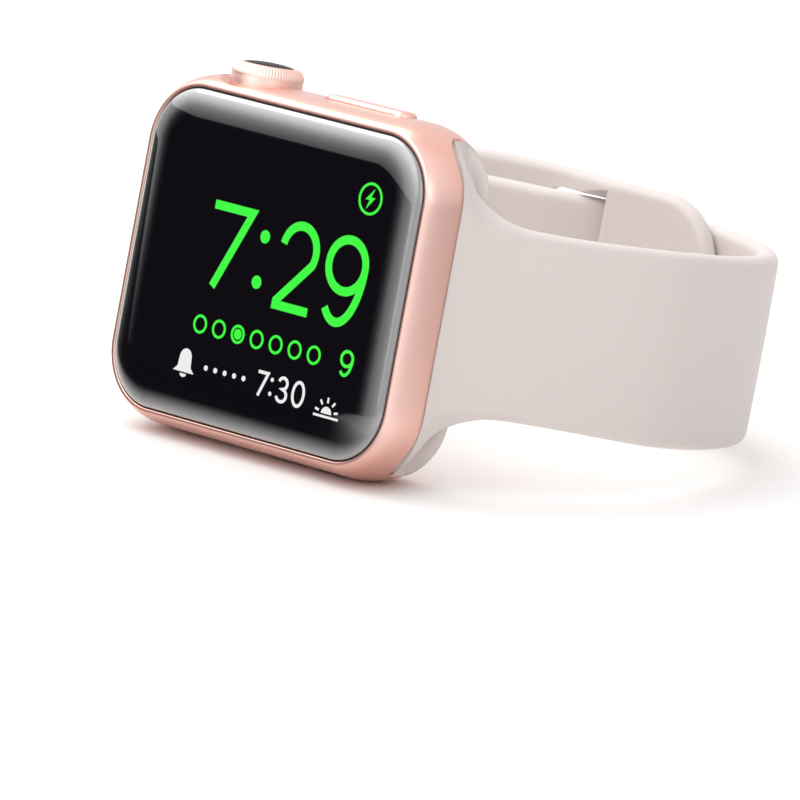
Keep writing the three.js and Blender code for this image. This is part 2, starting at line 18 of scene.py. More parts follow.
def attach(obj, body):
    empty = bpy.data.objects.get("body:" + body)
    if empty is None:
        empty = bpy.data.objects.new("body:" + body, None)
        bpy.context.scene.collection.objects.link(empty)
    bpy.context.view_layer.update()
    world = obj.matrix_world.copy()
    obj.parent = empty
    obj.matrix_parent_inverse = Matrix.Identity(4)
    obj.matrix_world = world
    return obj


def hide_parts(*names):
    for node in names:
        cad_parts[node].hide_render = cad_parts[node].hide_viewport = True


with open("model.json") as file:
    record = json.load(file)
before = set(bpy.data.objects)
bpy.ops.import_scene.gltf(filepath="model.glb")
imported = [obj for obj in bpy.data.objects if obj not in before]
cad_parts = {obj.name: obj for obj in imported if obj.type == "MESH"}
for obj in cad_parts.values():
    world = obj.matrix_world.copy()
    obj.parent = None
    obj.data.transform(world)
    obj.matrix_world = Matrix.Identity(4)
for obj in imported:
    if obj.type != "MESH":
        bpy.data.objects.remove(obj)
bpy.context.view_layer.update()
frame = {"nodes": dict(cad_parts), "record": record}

# %% [markdown]
# ## Work in the watch's own axes
# A leaning object is awkward to model in room axes. A watchmaker measures along the case instead:
# x from the twelve o'clock end to the six o'clock end, y from the glass into the watch, z towards the
# crown, all in millimetres. The charging face on the back is stored with its place and its direction,
# so the lean and the origin can be worked out from it, and every shape below is drawn in watch axes
# and turned into room metres in one place.

# %% Find the watch axes
MM = 0.001
WINDOW_TOP = 10.55
charging_face = next(mount for mount in frame["record"]["mounts"] if mount["name"] == "charging_face")
DEPTH = Vector(charging_face["axis"])
CROWNWARD = Vector((0.0, -DEPTH.z, DEPTH.y))
AXES = np.array([(1.0, 0.0, 0.0), tuple(DEPTH), tuple(CROWNWARD)])
ORIGIN = np.array(charging_face["pos_m"]) - np.array(DEPTH) * WINDOW_TOP * MM


def to_room(points):
    """Watch millimetres to room metres."""
    return np.asarray(points, float).reshape(-1, 3) @ AXES * MM + ORIGIN


print("the watch leans back by", round(math.degrees(math.asin(-DEPTH.z)), 2), "degrees")

# %% [markdown]
# ## Lofts and turned shapes
# Nearly every part of a watch is either turned on a lathe or milled along a smooth outline. Both can be
# made as a row of closed rings joined by quads: a turned part's rings are circles, a milled part's rings
# are rounded rectangles. A modifier stack could do this too, but rings give full control of where the
# edge loops lie, and that is what makes highlights run cleanly.


# %% Rings to surfaces
def loft(rings, looped=False):
    """Points and faces through rings of equal count. A looped loft joins its last ring to its first."""
    rings = np.asarray(rings, float)
    count, around = rings.shape[:2]
    index = np.arange(count * around).reshape(count, around)
    faces = []
    for i in range(count if looped else count - 1):
        here, there = index[i], index[(i + 1) % count]
        after, beyond = np.roll(here, -1), np.roll(there, -1)
        faces += np.stack([here, after, beyond, there], axis=1).tolist()
    if not looped:
        faces += [index[0][::-1].tolist(), index[-1].tolist()]
    return rings.reshape(-1, 3), faces


def combine(shapes):
    """Several (points, faces) shapes as one."""
    points, faces, start = [], [], 0
    for shape_points, shape_faces in shapes:
        points.append(np.asarray(shape_points, float).reshape(-1, 3))
        faces += [[corner + start for corner in face] for face in shape_faces]
        start += len(points[-1])
    return np.vstack(points), faces


def turned(profile, centre, axis, around=96, looped=False, swell=None):
    """A turned shape from (radius, height) pairs about watch axis y or z through centre.
    swell(radius, height, angle) may change the radius round the turn, as a knurl does."""
    angle = np.linspace(0, 2 * math.pi, around, endpoint=False)
    rings = []
    for radius, height in profile:
        out = np.full(around, float(radius)) if swell is None else swell(radius, height, angle)
        first, second = centre[0] + out * np.cos(angle), centre[1] + out * np.sin(angle)
        level = np.full(around, float(height))
        rings.append(np.stack([first, level, second] if axis == "y" else [first, second, level], axis=1))
    return loft(rings, looped)


def rounded_outline(half_x, half_z, corner, corner_steps=26, straight_steps=22):
    """A rounded rectangle as points (x, z) with the same count for every size."""
    points = []
    for quarter, (sign_x, sign_z) in enumerate([(1, 1), (-1, 1), (-1, -1), (1, -1)]):
        angle = (quarter + np.linspace(0, 1, corner_steps + 1)) * math.pi / 2
        centre = np.array([sign_x * (half_x - corner), sign_z * (half_z - corner)])
        points.append(centre + corner * np.stack([np.cos(angle), np.sin(angle)], axis=1))
    full = []
    for quarter in range(4):
        full.append(points[quarter])
        start, end = points[quarter][-1], points[(quarter + 1) % 4][0]
        steps = np.linspace(0, 1, straight_steps + 1)[1:-1, None]
        full.append(start + (end - start) * steps)
    return np.vstack(full)


def at_depth(outline, y):
    """An (x, z) outline placed at depth y."""
    return np.stack([outline[:, 0], np.full(len(outline), float(y)), outline[:, 1]], axis=1)


print("rings per rounded outline:", len(rounded_outline(10, 8, 2)))

# %% [markdown]
# ## From a shape to a finished piece
# Machined metal shows soft light across its faces and a crisp break only at real edges. Smooth shading
# everywhere, with the steep edges marked sharp, gives that. Pockets and slots are cut with booleans
# after the outer form is lofted, as they are milled after the blank, and a very small bevel then breaks
# each cut edge so that it catches the light.


# %% Make, carve and soften
def add_object(name, data):
    added = bpy.data.objects.new(name, data)
    bpy.context.scene.collection.objects.link(added)
    return added


def make_object(name, shape):
    points, faces = shape
    mesh = bpy.data.meshes.new(name)
    mesh.from_pydata(to_room(points).tolist(), [], faces)
    made = add_object(name, mesh)
    edit = bmesh.new()
    edit.from_mesh(mesh)
    bmesh.ops.recalc_face_normals(edit, faces=edit.faces)
    edit.to_mesh(mesh)
    edit.free()
    return made


def apply_modifiers(piece):
    graph = bpy.context.evaluated_depsgraph_get()
    result = bpy.data.meshes.new_from_object(piece.evaluated_get(graph))
    piece.modifiers.clear()
    piece.data = result


def carve(piece, tools):
    """Cut every tool shape out of the piece, then drop the tools."""
    for number, shape in enumerate(tools):
        tool = make_object(f"{piece.name}_tool_{number}", shape)
        cut = piece.modifiers.new("cut", "BOOLEAN")
        cut.operation = "DIFFERENCE"
        cut.solver = "EXACT"
        cut.object = tool
        bpy.context.view_layer.update()
        apply_modifiers(piece)
        bpy.data.objects.remove(tool)


def soften_edges(piece, width, angle=35, segments=2):
    bevel = piece.modifiers.new("soften", "BEVEL")
    bevel.width = width * MM
    bevel.segments = segments
    bevel.limit_method = "ANGLE"
    bevel.angle_limit = math.radians(angle)
    bevel.use_clamp_overlap = False
    apply_modifiers(piece)


def shade(piece, sharp_angle=32):
    edit = bmesh.new()
    edit.from_mesh(piece.data)
    for face in edit.faces:
        face.smooth = True
    for edge in edit.edges:
        steep = len(edge.link_faces) == 2 and edge.calc_face_angle(0.0) > math.radians(sharp_angle)
        edge.smooth = not steep
    edit.to_mesh(piece.data)
    edit.free()


def finish_piece(piece, finish, body, slot, replaces=(), sharp_angle=32):
    shade(piece, sharp_angle)
    piece.data.materials.clear()
    piece.data.materials.append(finish.material)
    if replaces:
        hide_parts(*replaces)
    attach(piece, body)
    print(piece.name, "has", len(piece.data.polygons), "faces and rides on", body)


def add_piece(name, shape, *details):
    """A piece that needs no cutting, made and finished in one step."""
    finish_piece(make_object(name, shape), *details)


# %% [markdown]
# ## Writing shaders as arithmetic
# A procedural finish is mostly sums: a base tone plus a little grain, minus some wear. Wiring Math nodes
# by hand hides that. The small class below wraps a socket so that Python's own operators add the nodes,
# and one method makes every other node from its type, its settings and what goes into its sockets.


# %% Sockets that add up
def sum_of(operation, swapped=False):
    """A method that adds a Math node for one of Python's operators."""

    def apply(self, other=0.0):
        first, second = (other, self) if swapped else (self, other)
        return self.nodes.math(operation, first, second)

    return apply


class Signal:
    """A socket that can be used in sums."""

    def __init__(self, nodes, socket):
        self.nodes = nodes
        self.socket = socket

    __add__ = __radd__ = sum_of("ADD")
    __mul__ = __rmul__ = sum_of("MULTIPLY")
    __sub__, __rsub__ = sum_of("SUBTRACT"), sum_of("SUBTRACT", True)
    __pow__, __abs__ = sum_of("POWER"), sum_of("ABSOLUTE")


class NodeBench:
    """A node tree with one way to make any node."""

    def __init__(self, tree):
        self.tree = tree

    def node(self, kind, settings=None, sockets=None, output=0):
        made = self.tree.nodes.new(kind)
        for key, value in (settings or {}).items():
            if key == "stops":
                ramp = made.color_ramp
                while len(ramp.elements) < len(value):
                    ramp.elements.new(0.5)
                for element, (position, level) in zip(ramp.elements, value):
                    element.position = position
                    element.color = (level, level, level, 1)
            else:
                setattr(made, key, value)
        for key, value in (sockets or {}).items():
            self.feed(made.inputs[key], value)
        return Signal(self, made.outputs[output])

    def feed(self, socket, value):
        if isinstance(value, Signal):
            self.tree.links.new(value.socket, socket)
        else:
            socket.default_value = value

    def math(self, operation, first, second=0.0):
        return self.node("ShaderNodeMath", {"operation": operation}, {0: first, 1: second})

    def vector(self, operation, first, second, output=0):
        return self.node("ShaderNodeVectorMath", {"operation": operation}, {0: first, 1: second}, output)

    def place(self):
        return self.node("ShaderNodeTexCoord", output="Object")

    def noise(self, per_mm, detail=2.0, stretch=None):
        spot = self.place()
        if stretch:
            spot = self.vector("MULTIPLY", spot, stretch)
        sockets = {"Vector": spot, "Scale": per_mm / MM, "Detail": detail, "Roughness": 0.55}
        return self.node("ShaderNodeTexNoise", {"noise_dimensions": "3D"}, sockets, "Fac")

    def ramp(self, value, *stops):
        """A level that eases through (position, level) stops."""
        return self.node("ShaderNodeValToRGB", {"stops": stops}, {"Fac": value}, "Color")

    def between(self, value, low, high):
        """0 below low and 1 above high, eased between."""
        settings = {"interpolation_type": "SMOOTHSTEP"}
        sockets = {"Value": value, "From Min": low, "From Max": high}
        return self.node("ShaderNodeMapRange", settings, sockets, "Result")

    def blend(self, share, first, second):
        """Two colours mixed by a share. Each is three levels, or a signal."""
        tones = [(*tone, 1) if isinstance(tone, tuple) else tone for tone in (first, second)]
        return self.node("ShaderNodeMix", {"data_type": "RGBA"}, {0: share, 6: tones[0], 7: tones[1]}, 2)


class Finish(NodeBench):
    """One material: a Principled shader and the nodes that feed it."""

    def __init__(self, name, **constants):
        self.material = bpy.data.materials.new(name)
        self.material.use_nodes = True
        super().__init__(self.material.node_tree)
        self.shader = self.tree.nodes["Principled BSDF"]
        for socket, value in constants.items():
            self.shader.inputs[socket.replace("_", " ")].default_value = value

    def paint(self, **channels):
        for socket, value in channels.items():
            self.feed(self.shader.inputs[socket.replace("_", " ")], value)

    def speckle(self, figure, first, second, roughness, spread):
        """Tone and roughness that both follow one pattern."""
        self.paint(Base_Color=self.blend(figure, first, second), Roughness=roughness + figure * spread)

    def grain(self, height, depth_mm, strength=1.0):
        """Relief: height runs from 0 to 1 over depth_mm."""
        sockets = {"Height": height, "Distance": depth_mm * MM, "Strength": strength}
        self.paint(Normal=self.node("ShaderNodeBump", {}, sockets, "Normal"))

    def watch_axis(self, axis):
        """How far along a watch axis a surface point lies, in millimetres."""
        direction = AXES[axis] / MM
        offset = float(ORIGIN @ direction)
        return self.vector("DOT_PRODUCT", self.place(), tuple(direction), "Value") - offset


# %% [markdown]
# ## Rose-gold aluminium
# The case is bead-blasted aluminium with a dyed anodic layer. Blasting leaves a grain far finer than a
# hair, so the metal has no visible texture: it shows as soft, wide highlights with a faint sparkle.
# The dye is never perfectly even, so the tone drifts a little over centimetres. Most of the tone's
# change is painted shade, though: the colour is painted deeper where the surface turns away from the
# camera. One recipe serves the case, the buttons and the stud; the crown's is softer, because its ribs
# scatter the light, and its colour is painted lighter, a lit copy of the same metal.


# %% Rose metal for the case and for the knob
def rose_metal(name, light_tone, shade_and_dye_deep_tone, roughness, grain_depth):
    metal = Finish(name, Metallic=1.0)
    drift = metal.noise(0.06, 3.0)
    blast = metal.noise(9.0, 2.0)
    smudge = metal.between(metal.noise(0.14, 4.0), 0.45, 0.75)
    # Painted shade: by the angle to the camera the colour is painted deeper, lightest where the surface faces
    # it.
    glancing = metal.node("ShaderNodeLayerWeight", {}, {"Blend": 0.5}, "Facing")
    painted_angle_shade = metal.ramp(glancing, (0.0, 0.0), (0.34, 1.0), (0.7, 0.75), (1.0, 0.25))
    # The tone is mostly that painted shade, with a little real dye drift and blast grain.
    tone = painted_angle_shade * 0.8 + drift * 0.12 + blast * 0.08
    metal.paint(
        Base_Color=metal.blend(tone, light_tone, shade_and_dye_deep_tone),
        Roughness=roughness + (blast - 0.5) * 0.10 + smudge * 0.03,
    )
    metal.grain(blast, grain_depth)
    return metal


rose_satin = rose_metal("rose_satin", (0.90, 0.63, 0.575), (0.76, 0.42, 0.345), 0.30, 0.004)
# Painted light: the crown's copy has lighter colours than the case's, a lit copy of the same metal.
rose_knob_painted_lighter = rose_metal("rose_knob_painted_lighter", (0.93, 0.68, 0.62), (0.84, 0.54, 0.46), 0.42, 0.001)
print("rose metals made")

# %% [markdown]
# ## The case
# The real case is milled from one block: a pillow-shaped flank whose widest line is near the middle,
# a thin flat rim round the glass, pockets for the glass and the display, and a flat back with a round
# opening. All of these share one outline that only grows, shrinks or turns into a circle, so the whole
# blank can be a single loft that goes down the outside, through the back opening and up the inside.

# %% The case outline and flank
CASE_HALF_X, CASE_HALF_Z, CASE_CORNER = 19.3, 16.65, 7.2
WIDEST_DEPTH, CASE_BACK, BACK_INSET = 4.4, 9.2, 3.1
FRONT_REACH, FRONT_FALL = 4.7, 1.75
APERTURE_INSET, APERTURE_DEPTH = 1.5, 1.0
LEDGE_INSET, CAVITY_FRONT, CAVITY_BACK = 2.6, 1.95, 8.0
COVER_RADIUS, COVER_SEAT, COVER_LEDGE = 12.5, 8.7, 11.7


def case_outline(inset):
    return rounded_outline(CASE_HALF_X - inset, CASE_HALF_Z - inset, CASE_CORNER - inset)


def case_rings(section):
    """The case outline at every (inset, depth) of a section."""
    return [at_depth(case_outline(inset), y) for inset, y in section]


def flank_inset(y):
    """How far the flank has fallen in from its widest line at depth y."""
    if y < WIDEST_DEPTH:
        share = (WIDEST_DEPTH - y) / FRONT_REACH
        return FRONT_FALL * (1 - math.sqrt(1 - share * share))
    share = min((y - WIDEST_DEPTH) / (CASE_BACK - WIDEST_DEPTH), 1.0)
    return BACK_INSET * (1 - (1 - share**2.2) ** (1 / 2.2))


def case_blank():
    rim_inset = flank_inset(0)
    circle_angle = np.arctan2(*case_outline(BACK_INSET).T[::-1])
    circle = np.stack([np.cos(circle_angle), np.sin(circle_angle)], axis=1)
    cavity = rounded_outline(13.0, 13.9, 2.5)
    front = 0.5 - 0.5 * np.cos(np.linspace(0, math.pi, 19))
    behind_widest = np.sin(np.linspace(0, 1.5, 22)) * (CASE_BACK - WIDEST_DEPTH)
    flank_depths = [*(front * WIDEST_DEPTH)[1:], *(WIDEST_DEPTH + behind_widest)[1:]]
    aperture = [(LEDGE_INSET, APERTURE_DEPTH), (APERTURE_INSET, APERTURE_DEPTH), (APERTURE_INSET, 0.06)]
    aperture += [(APERTURE_INSET - 0.04, 0.01), (APERTURE_INSET - 0.09, 0.0), (rim_inset + 0.06, 0.0)]
    flank = [(flank_inset(y), y) for y in flank_depths] + [(BACK_INSET - 0.2, CASE_BACK)]
    cover_seat = [(COVER_RADIUS + 0.06, CASE_BACK), (COVER_RADIUS, CASE_BACK - 0.06)]
    cover_seat += [(COVER_RADIUS, COVER_SEAT), (COVER_LEDGE, COVER_SEAT), (COVER_LEDGE, CAVITY_BACK)]
    rings = case_rings(aperture + flank) + [at_depth(circle * radius, y) for radius, y in cover_seat]
    rings += [at_depth(cavity, CAVITY_BACK), at_depth(cavity, CAVITY_FRONT)]
    rings += case_rings([(LEDGE_INSET, CAVITY_FRONT)])
    return loft(rings, looped=True)


case = make_object("case_shell", case_blank())
print("case blank:", len(case.data.polygons), "faces")

# %% [markdown]
# ## Milling the case
# The band slides into a round-bottomed groove at each end, so a prism with that section is cut right
# across. The crown turns in a round recess, the button sits in a pill-shaped one, two slots let the
# speaker out on the lower flank and a small round hole serves the microphone.

# %% Cutting tools
GROOVE_X, GROOVE_Y, GROOVE_RADIUS, GROOVE_MOUTH = 17.75, 5.7, 2.3, 2.1
CONTROL_DEPTH = 4.5
CROWN_X, CROWN_RADIUS = -8.9, 3.4
CROWN_DISH = [(0.16, 14.6), (0.18, 15.3), (0.26, 15.55), (0.42, 15.78), (0.62, 15.98)]
CROWN_DISH += [(0.84, 16.25), (0.98, 16.5), (1.04, 19.0)]
BUTTON_X, BUTTON_HALF_LENGTH, BUTTON_HALF_HEIGHT = 5.0, 5.35, 1.3
BUTTON_DISH = [(15.5, 0.0), (16.2, 0.0), (16.4, -0.04), (16.7, -0.16), (18.0, -0.3)]
RELEASE_X, RELEASE_HALF_WIDTH, RELEASE_HALF_LENGTH = 14.5, 0.75, 2.6
SPEAKER_SLOTS, SLOT_SIZE, SOUND_HOLE = (3.3, 8.3), (2.1, 0.5), (0.7, 0.4)
LOWER_FLANK, UPPER_WALL, BACK_WALL = (-18.0, -13.0), (13.0, 16.0), (6.5, 10.0)


def pill(half_length, half_height, steps=20):
    """A pill outline with its long side along the first axis."""
    half_turn = np.linspace(-math.pi / 2, math.pi / 2, steps + 1)
    straight = half_length - half_height
    right = half_height * np.stack([np.cos(half_turn), np.sin(half_turn)], axis=1) + (straight, 0)
    return np.vstack([right, -right])


def pill_along_z(x, half_length, half_height, *levels):
    """A pill that runs through the flank. Each level is (z, inset)."""
    rings = []
    for z, inset in levels:
        outline = pill(half_length - inset, half_height - inset)
        xy = outline + (x, CONTROL_DEPTH)
        rings.append(np.column_stack([xy, np.full(len(outline), z)]))
    return loft(rings)


def pill_along_y(x, half_length, half_width, *levels):
    """A pill that stands along z and runs into the back. Each level is (y, inset)."""
    rings = []
    for y, inset in levels:
        outline = pill(half_length - inset, half_width - inset)
        rings.append(np.column_stack([outline[:, 1] + x, np.full(len(outline), y), outline[:, 0]]))
    return loft(rings)


def groove(side):
    start = math.asin(GROOVE_MOUTH / GROOVE_RADIUS)
    angle = np.linspace(start, 2 * math.pi - start, 48)
    x = [22.0, *(GROOVE_X + GROOVE_RADIUS * np.cos(angle)), 22.0]
    y = [GROOVE_Y - GROOVE_MOUTH, *(GROOVE_Y - GROOVE_RADIUS * np.sin(angle)), GROOVE_Y + GROOVE_MOUTH]
    rings = [np.column_stack([side * np.array(x), y, np.full(len(x), z)]) for z in (-18.0, 18.0)]
    return loft(rings)


crown_centre = (CROWN_X, CONTROL_DEPTH)
button_centre = (BUTTON_X, CONTROL_DEPTH)


def bore(radius, centre, wall):
    return turned([(radius, wall[0]), (radius, wall[1])], centre, "z", 24 if radius < 1 else 32)


crown_dish = [(CROWN_RADIUS + gap, z) for gap, z in CROWN_DISH]
button_pocket = (BUTTON_HALF_LENGTH + 0.14, BUTTON_HALF_HEIGHT + 0.15)
release_size = (RELEASE_HALF_LENGTH, RELEASE_HALF_WIDTH)
case_tools = [
    groove(1),
    groove(-1),
    turned(crown_dish, crown_centre, "z", 120),
    bore(1.75, crown_centre, UPPER_WALL),
    pill_along_z(BUTTON_X, *button_pocket, *BUTTON_DISH),
    bore(0.8, button_centre, UPPER_WALL),
    *[pill_along_z(x, *SLOT_SIZE, *[(z, 0) for z in LOWER_FLANK]) for x in SPEAKER_SLOTS],
    bore(SOUND_HOLE[1], (SOUND_HOLE[0], CONTROL_DEPTH), LOWER_FLANK),
    *[pill_along_y(x, *release_size, *[(y, 0) for y in BACK_WALL]) for x in (RELEASE_X, -RELEASE_X)],
]
carve(case, case_tools)
soften_edges(case, 0.06)
finish_piece(case, rose_satin, "watch", "rose_aluminium", ["case"])

# %% [markdown]
# ## The glass and its seal
# The cover glass is flat in the middle and rolls off over its last four millimetres, so its edge picks
# up whatever is bright around it while the middle stays black. The roll-off is a quarter of a flattened
# ellipse, which meets the flat middle without a visible line. A thin black seal fills the joint. The
# glass's colour is also painted light grey in a band along its edge, a painted glow.

# %% Black cover glass
GLASS_INSET, GLASS_RISE, ROLL_OFF = 1.65, 0.95, 4.4


def glass_depth(inset):
    """The depth of the glass surface at an inset from its own edge."""
    share = max(0.0, (ROLL_OFF - inset) / ROLL_OFF)
    return 0.05 - GLASS_RISE * math.sqrt(1 - share * share)


cover_black = Finish("cover_black", IOR=1.5, Specular_IOR_Level=0.5, Coat_IOR=2.2, Coat_Roughness=0.03)
beyond_x = abs(cover_black.watch_axis(0)) - (CASE_HALF_X - CASE_CORNER)
beyond_z = abs(cover_black.watch_axis(2)) - (CASE_HALF_Z - CASE_CORNER)
round_corner = sum(cover_black.math("MAXIMUM", past, 0.0) ** 2.0 for past in (beyond_x, beyond_z)) ** 0.5
straight_side = cover_black.math("MINIMUM", cover_black.math("MAXIMUM", beyond_x, beyond_z), 0.0)
near_edge = CASE_CORNER - GLASS_INSET - round_corner - straight_side
rolled = 1 - cover_black.between(near_edge, 0.0, 3.4)
# Painted glow: the base colour is painted light grey near the glass's edge, standing in for light caught
# there.
painted_rim_glow = (1 - cover_black.between(near_edge, -1.2, 2.1)) ** 2.0
dust = cover_black.noise(0.5, 4.0)
cover_black.paint(
    Base_Color=cover_black.blend(painted_rim_glow, (0.004, 0.003, 0.005), (0.52, 0.53, 0.53)),
    Roughness=0.03 + dust * 0.03,
    Coat_Weight=0.04 + rolled * 0.96,
)


def cover_glass():
    insets = (1 - np.cos(np.linspace(0, math.pi / 2, 22))) * ROLL_OFF
    foot = [(GLASS_INSET + 0.5, 0.9), (GLASS_INSET + 0.04, 0.6)]
    return loft(case_rings(foot + [(GLASS_INSET + inset, glass_depth(inset)) for inset in insets]))


add_piece("cover_glass", cover_glass(), cover_black, "watch", "cover_glass", ["display_glass"], 40)

# %% The seal round the glass
seal_black = Finish("seal_black", Specular_IOR_Level=0.3)
seal_speck = seal_black.noise(6.0)
seal_black.speckle(seal_speck, (0.012, 0.011, 0.012), (0.03, 0.027, 0.027), 0.6, 0.15)
seal_black.grain(seal_speck, 0.003)

seal_section = [(1.51, 0.92), (1.51, 0.12), (1.54, 0.09), (1.62, 0.09), (1.64, 0.12), (1.64, 0.92)]
seal_shape = loft(case_rings(seal_section), looped=True)
add_piece("glass_seal", seal_shape, seal_black, "watch", "black_rubber", ["display_gasket"])

# %% [markdown]
# ## What the display shows
# The display is self-lit, so its figures are the brightest colour on the watch and cast no shade.
# They could be painted by the glass's shader, but crisp strokes at this size would need a very fine
# pattern. Thin inlays that follow the glass are sharper: each stroke is a flat ribbon along a path.
# Only numerals and plain symbols are drawn: the time, a row of weekday dots with a date, an alarm bell
# with its time, and a charging bolt in a ring.


# %% Ribbons and tiles on the glass
def glass_front(x, z):
    """The depth just in front of the glass at watch x, z."""
    inset = min(CASE_HALF_X - GLASS_INSET - abs(x), CASE_HALF_Z - GLASS_INSET - abs(z))
    return glass_depth(min(inset, ROLL_OFF)) - 0.02


def ribbon(path, width, closed=False):
    """A flat stroke of even width along a path of (x, z) points, with mitred bends."""
    path = np.asarray(path, float)
    ahead, behind = np.roll(path, -1, axis=0) - path, path - np.roll(path, 1, axis=0)
    if not closed:
        ahead[-1], behind[0] = behind[-1], ahead[0]
    ahead /= np.linalg.norm(ahead, axis=1)[:, None]
    behind /= np.linalg.norm(behind, axis=1)[:, None]
    normal = np.stack([-(ahead + behind)[:, 1], (ahead + behind)[:, 0]], axis=1)
    normal /= np.linalg.norm(normal, axis=1)[:, None]
    cosine = np.clip(np.sum(normal * np.stack([-ahead[:, 1], ahead[:, 0]], axis=1), axis=1), 0.35, 1)
    reach = normal * (width / 2 / cosine)[:, None]
    rings = []
    for point, side in zip(path, reach):
        left, right = point + side, point - side
        corners = [(left, 0.0), (right, 0.0), (right, 0.03), (left, 0.03)]
        rings.append([(spot[0], glass_front(*spot) + drop, spot[1]) for spot, drop in corners])
    return loft(rings, closed)


def tile(outline):
    """A filled flat shape."""
    rings = [[(x, glass_front(x, z) + drop, z) for x, z in outline] for drop in (0.0, 0.03)]
    return loft(rings)


def arc(centre, radii, start, end, steps=24):
    angle = np.radians(np.linspace(start, end, steps + 1))
    return [(centre[0] + radii[0] * math.cos(a), centre[1] + radii[1] * math.sin(a)) for a in angle]


def ring_path(centre, radii, steps=40):
    return arc(centre, radii, 0, 360 * (steps - 1) / steps, steps - 1)


# %% Plain numerals
def numeral(figure):
    """The strokes of a figure in a box one unit wide and one high: (points, closed)."""
    if figure == "7":
        return [([(0, 1), (1, 1), (0.28, 0)], False)]
    if figure == "2":
        hook = arc((0.5, 0.7), (0.46, 0.3), 172, -28)
        return [([*hook, (0.06, 0.03)], False), ([(0, 0), (1, 0)], False)]
    if figure == "9":
        tail = arc((0.44, 0.69), (0.56, 0.69), 0, -128)
        return [(ring_path((0.5, 0.69), (0.5, 0.31)), True), (tail, False)]
    if figure == "3":
        upper = arc((0.5, 0.76), (0.42, 0.24), 165, -90)
        lower = arc((0.49, 0.26), (0.49, 0.26), 90, -165)
        return [([*upper, *lower], False)]
    return [(ring_path((0.5, 0.5), (0.5, 0.5)), True)]


def write_numeral(figure, left, foot, width, height, stroke):
    """A numeral with its outer size, so the strokes stay inside the box."""
    inner_width, inner_height = width - stroke, height - stroke
    shapes = []
    for points, closed in numeral(figure):
        path = [(x * inner_width, z * inner_height) for x, z in points]
        shapes.append(ribbon(np.array(path) + (left + stroke / 2, foot + stroke / 2), stroke, closed))
    return shapes


def spots(centres, radius):
    return [tile(ring_path(centre, (radius, radius), 20)) for centre in centres]


# %% Lit inks
def lit_ink(name, colour, glow):
    """A self-lit colour with the faint grid of a display."""
    ink = Finish(name, Emission_Strength=glow, Roughness=0.25)
    column, row = [ink.math("SINE", ink.watch_axis(axis) * 40.0) for axis in (0, 2)]
    cell = 0.5 + column * row * 0.5
    dim = tuple(level * 0.82 for level in colour)
    ink.paint(
        Base_Color=ink.blend(cell, (0.01, 0.012, 0.01), (0.02, 0.024, 0.02)),
        Emission_Color=ink.blend(cell, dim, colour),
    )
    return ink


lit_green = lit_ink("lit_green", (0.035, 1.0, 0.04), 1.0)
lit_white = lit_ink("lit_white", (0.95, 0.95, 0.97), 0.95)

# %% Time, date, alarm and charging bolt
TIME_STROKE, ROW_STROKE = 0.84, 0.31
time_shapes = [
    *write_numeral("7", -7.6, -2.85, 5.85, 8.3, TIME_STROKE),
    *spots([(-0.15, 3.25), (-0.2, -1.0)], 0.62),
    *write_numeral("2", 1.75, -2.95, 5.5, 8.45, TIME_STROKE),
    *write_numeral("9", 8.0, -3.1, 5.5, 8.5, TIME_STROKE),
]
weekday_dots = [(-6.35 + 2.5 * day, -6.1) for day in range(7)]
date_shapes = [
    *[ribbon(ring_path(centre, (0.76, 0.76)), 0.26, True) for centre in weekday_dots],
    *spots([weekday_dots[2]], 0.5),
    *write_numeral("9", 12.0, -7.3, 1.75, 2.5, ROW_STROKE),
]
bolt_centre = (12.1, 9.05)
bolt_points = [(0.4, 0.98), (-0.62, -0.12), (-0.08, -0.12), (-0.38, -1.0), (0.62, 0.15), (0.08, 0.15)]
charge_shapes = [
    ribbon(ring_path(bolt_centre, (1.38, 1.38), 56), 0.25, True),
    tile([(bolt_centre[0] + x, bolt_centre[1] + z) for x, z in bolt_points]),
]
bell_x, bell_z = -7.4, -10.9
bell_skirt = [(-1.35, 0.1), (-0.85, 0.6)]
bell_outline = [(bell_x + x, bell_z + z) for x, z in bell_skirt]
bell_outline += arc((bell_x, bell_z + 1.4), (0.78, 0.9), 180, 0, 16)
bell_outline += [(bell_x - x, bell_z + z) for x, z in reversed(bell_skirt)]
sun_x, sun_z = 11.5, -11.0


def sun_ray(angle):
    return [(sun_x + far * math.cos(angle), sun_z + far * math.sin(angle)) for far in (1.0, 1.5)]


alarm_shapes = [
    tile(bell_outline),
    tile(arc((bell_x, bell_z - 0.05), (0.42, 0.32), 180, 360, 12)),
    *spots([(-4.6 + 1.25 * dot, -9.9) for dot in range(5)], 0.25),
    *write_numeral("7", 2.0, -11.2, 1.6, 2.5, ROW_STROKE),
    *spots([(4.05, -9.3), (4.05, -10.6)], 0.2),
    *write_numeral("3", 4.7, -11.2, 1.6, 2.5, ROW_STROKE),
    *write_numeral("0", 6.75, -11.2, 1.7, 2.5, ROW_STROKE),
    tile(arc((sun_x, sun_z), (0.66, 0.66), 0, 180, 16)),
    ribbon([(sun_x - 1.6, sun_z - 0.28), (sun_x + 1.6, sun_z - 0.28)], 0.22),
    *[ribbon(sun_ray(angle), 0.22) for angle in np.radians([12, 51, 90, 129, 168])],
]
for name, shapes, ink in [
    ("time_figures", time_shapes, lit_green),
    ("date_row", date_shapes, lit_green),
    ("charging_bolt", charge_shapes, lit_green),
    ("alarm_row", alarm_shapes, lit_white),
]:
    add_piece(name, combine(shapes), ink, "watch", "panel")

# %% [markdown]
# ## The crown
# The crown is a short knob whose rim is cut with fine ribs for grip, with a dark lacquered disc let
# into its end. It is turned like any lathe part, and the ribs are cut by letting the radius ripple
# round the turn. They run over the rounded shoulder and die out below it, where the wall is smooth.

# %% Knob with a ribbed rim
RIB_COUNT, RIB_DEPTH = 72, 0.06
CROWN_SHOULDER, CROWN_END = 17.2, 18.2


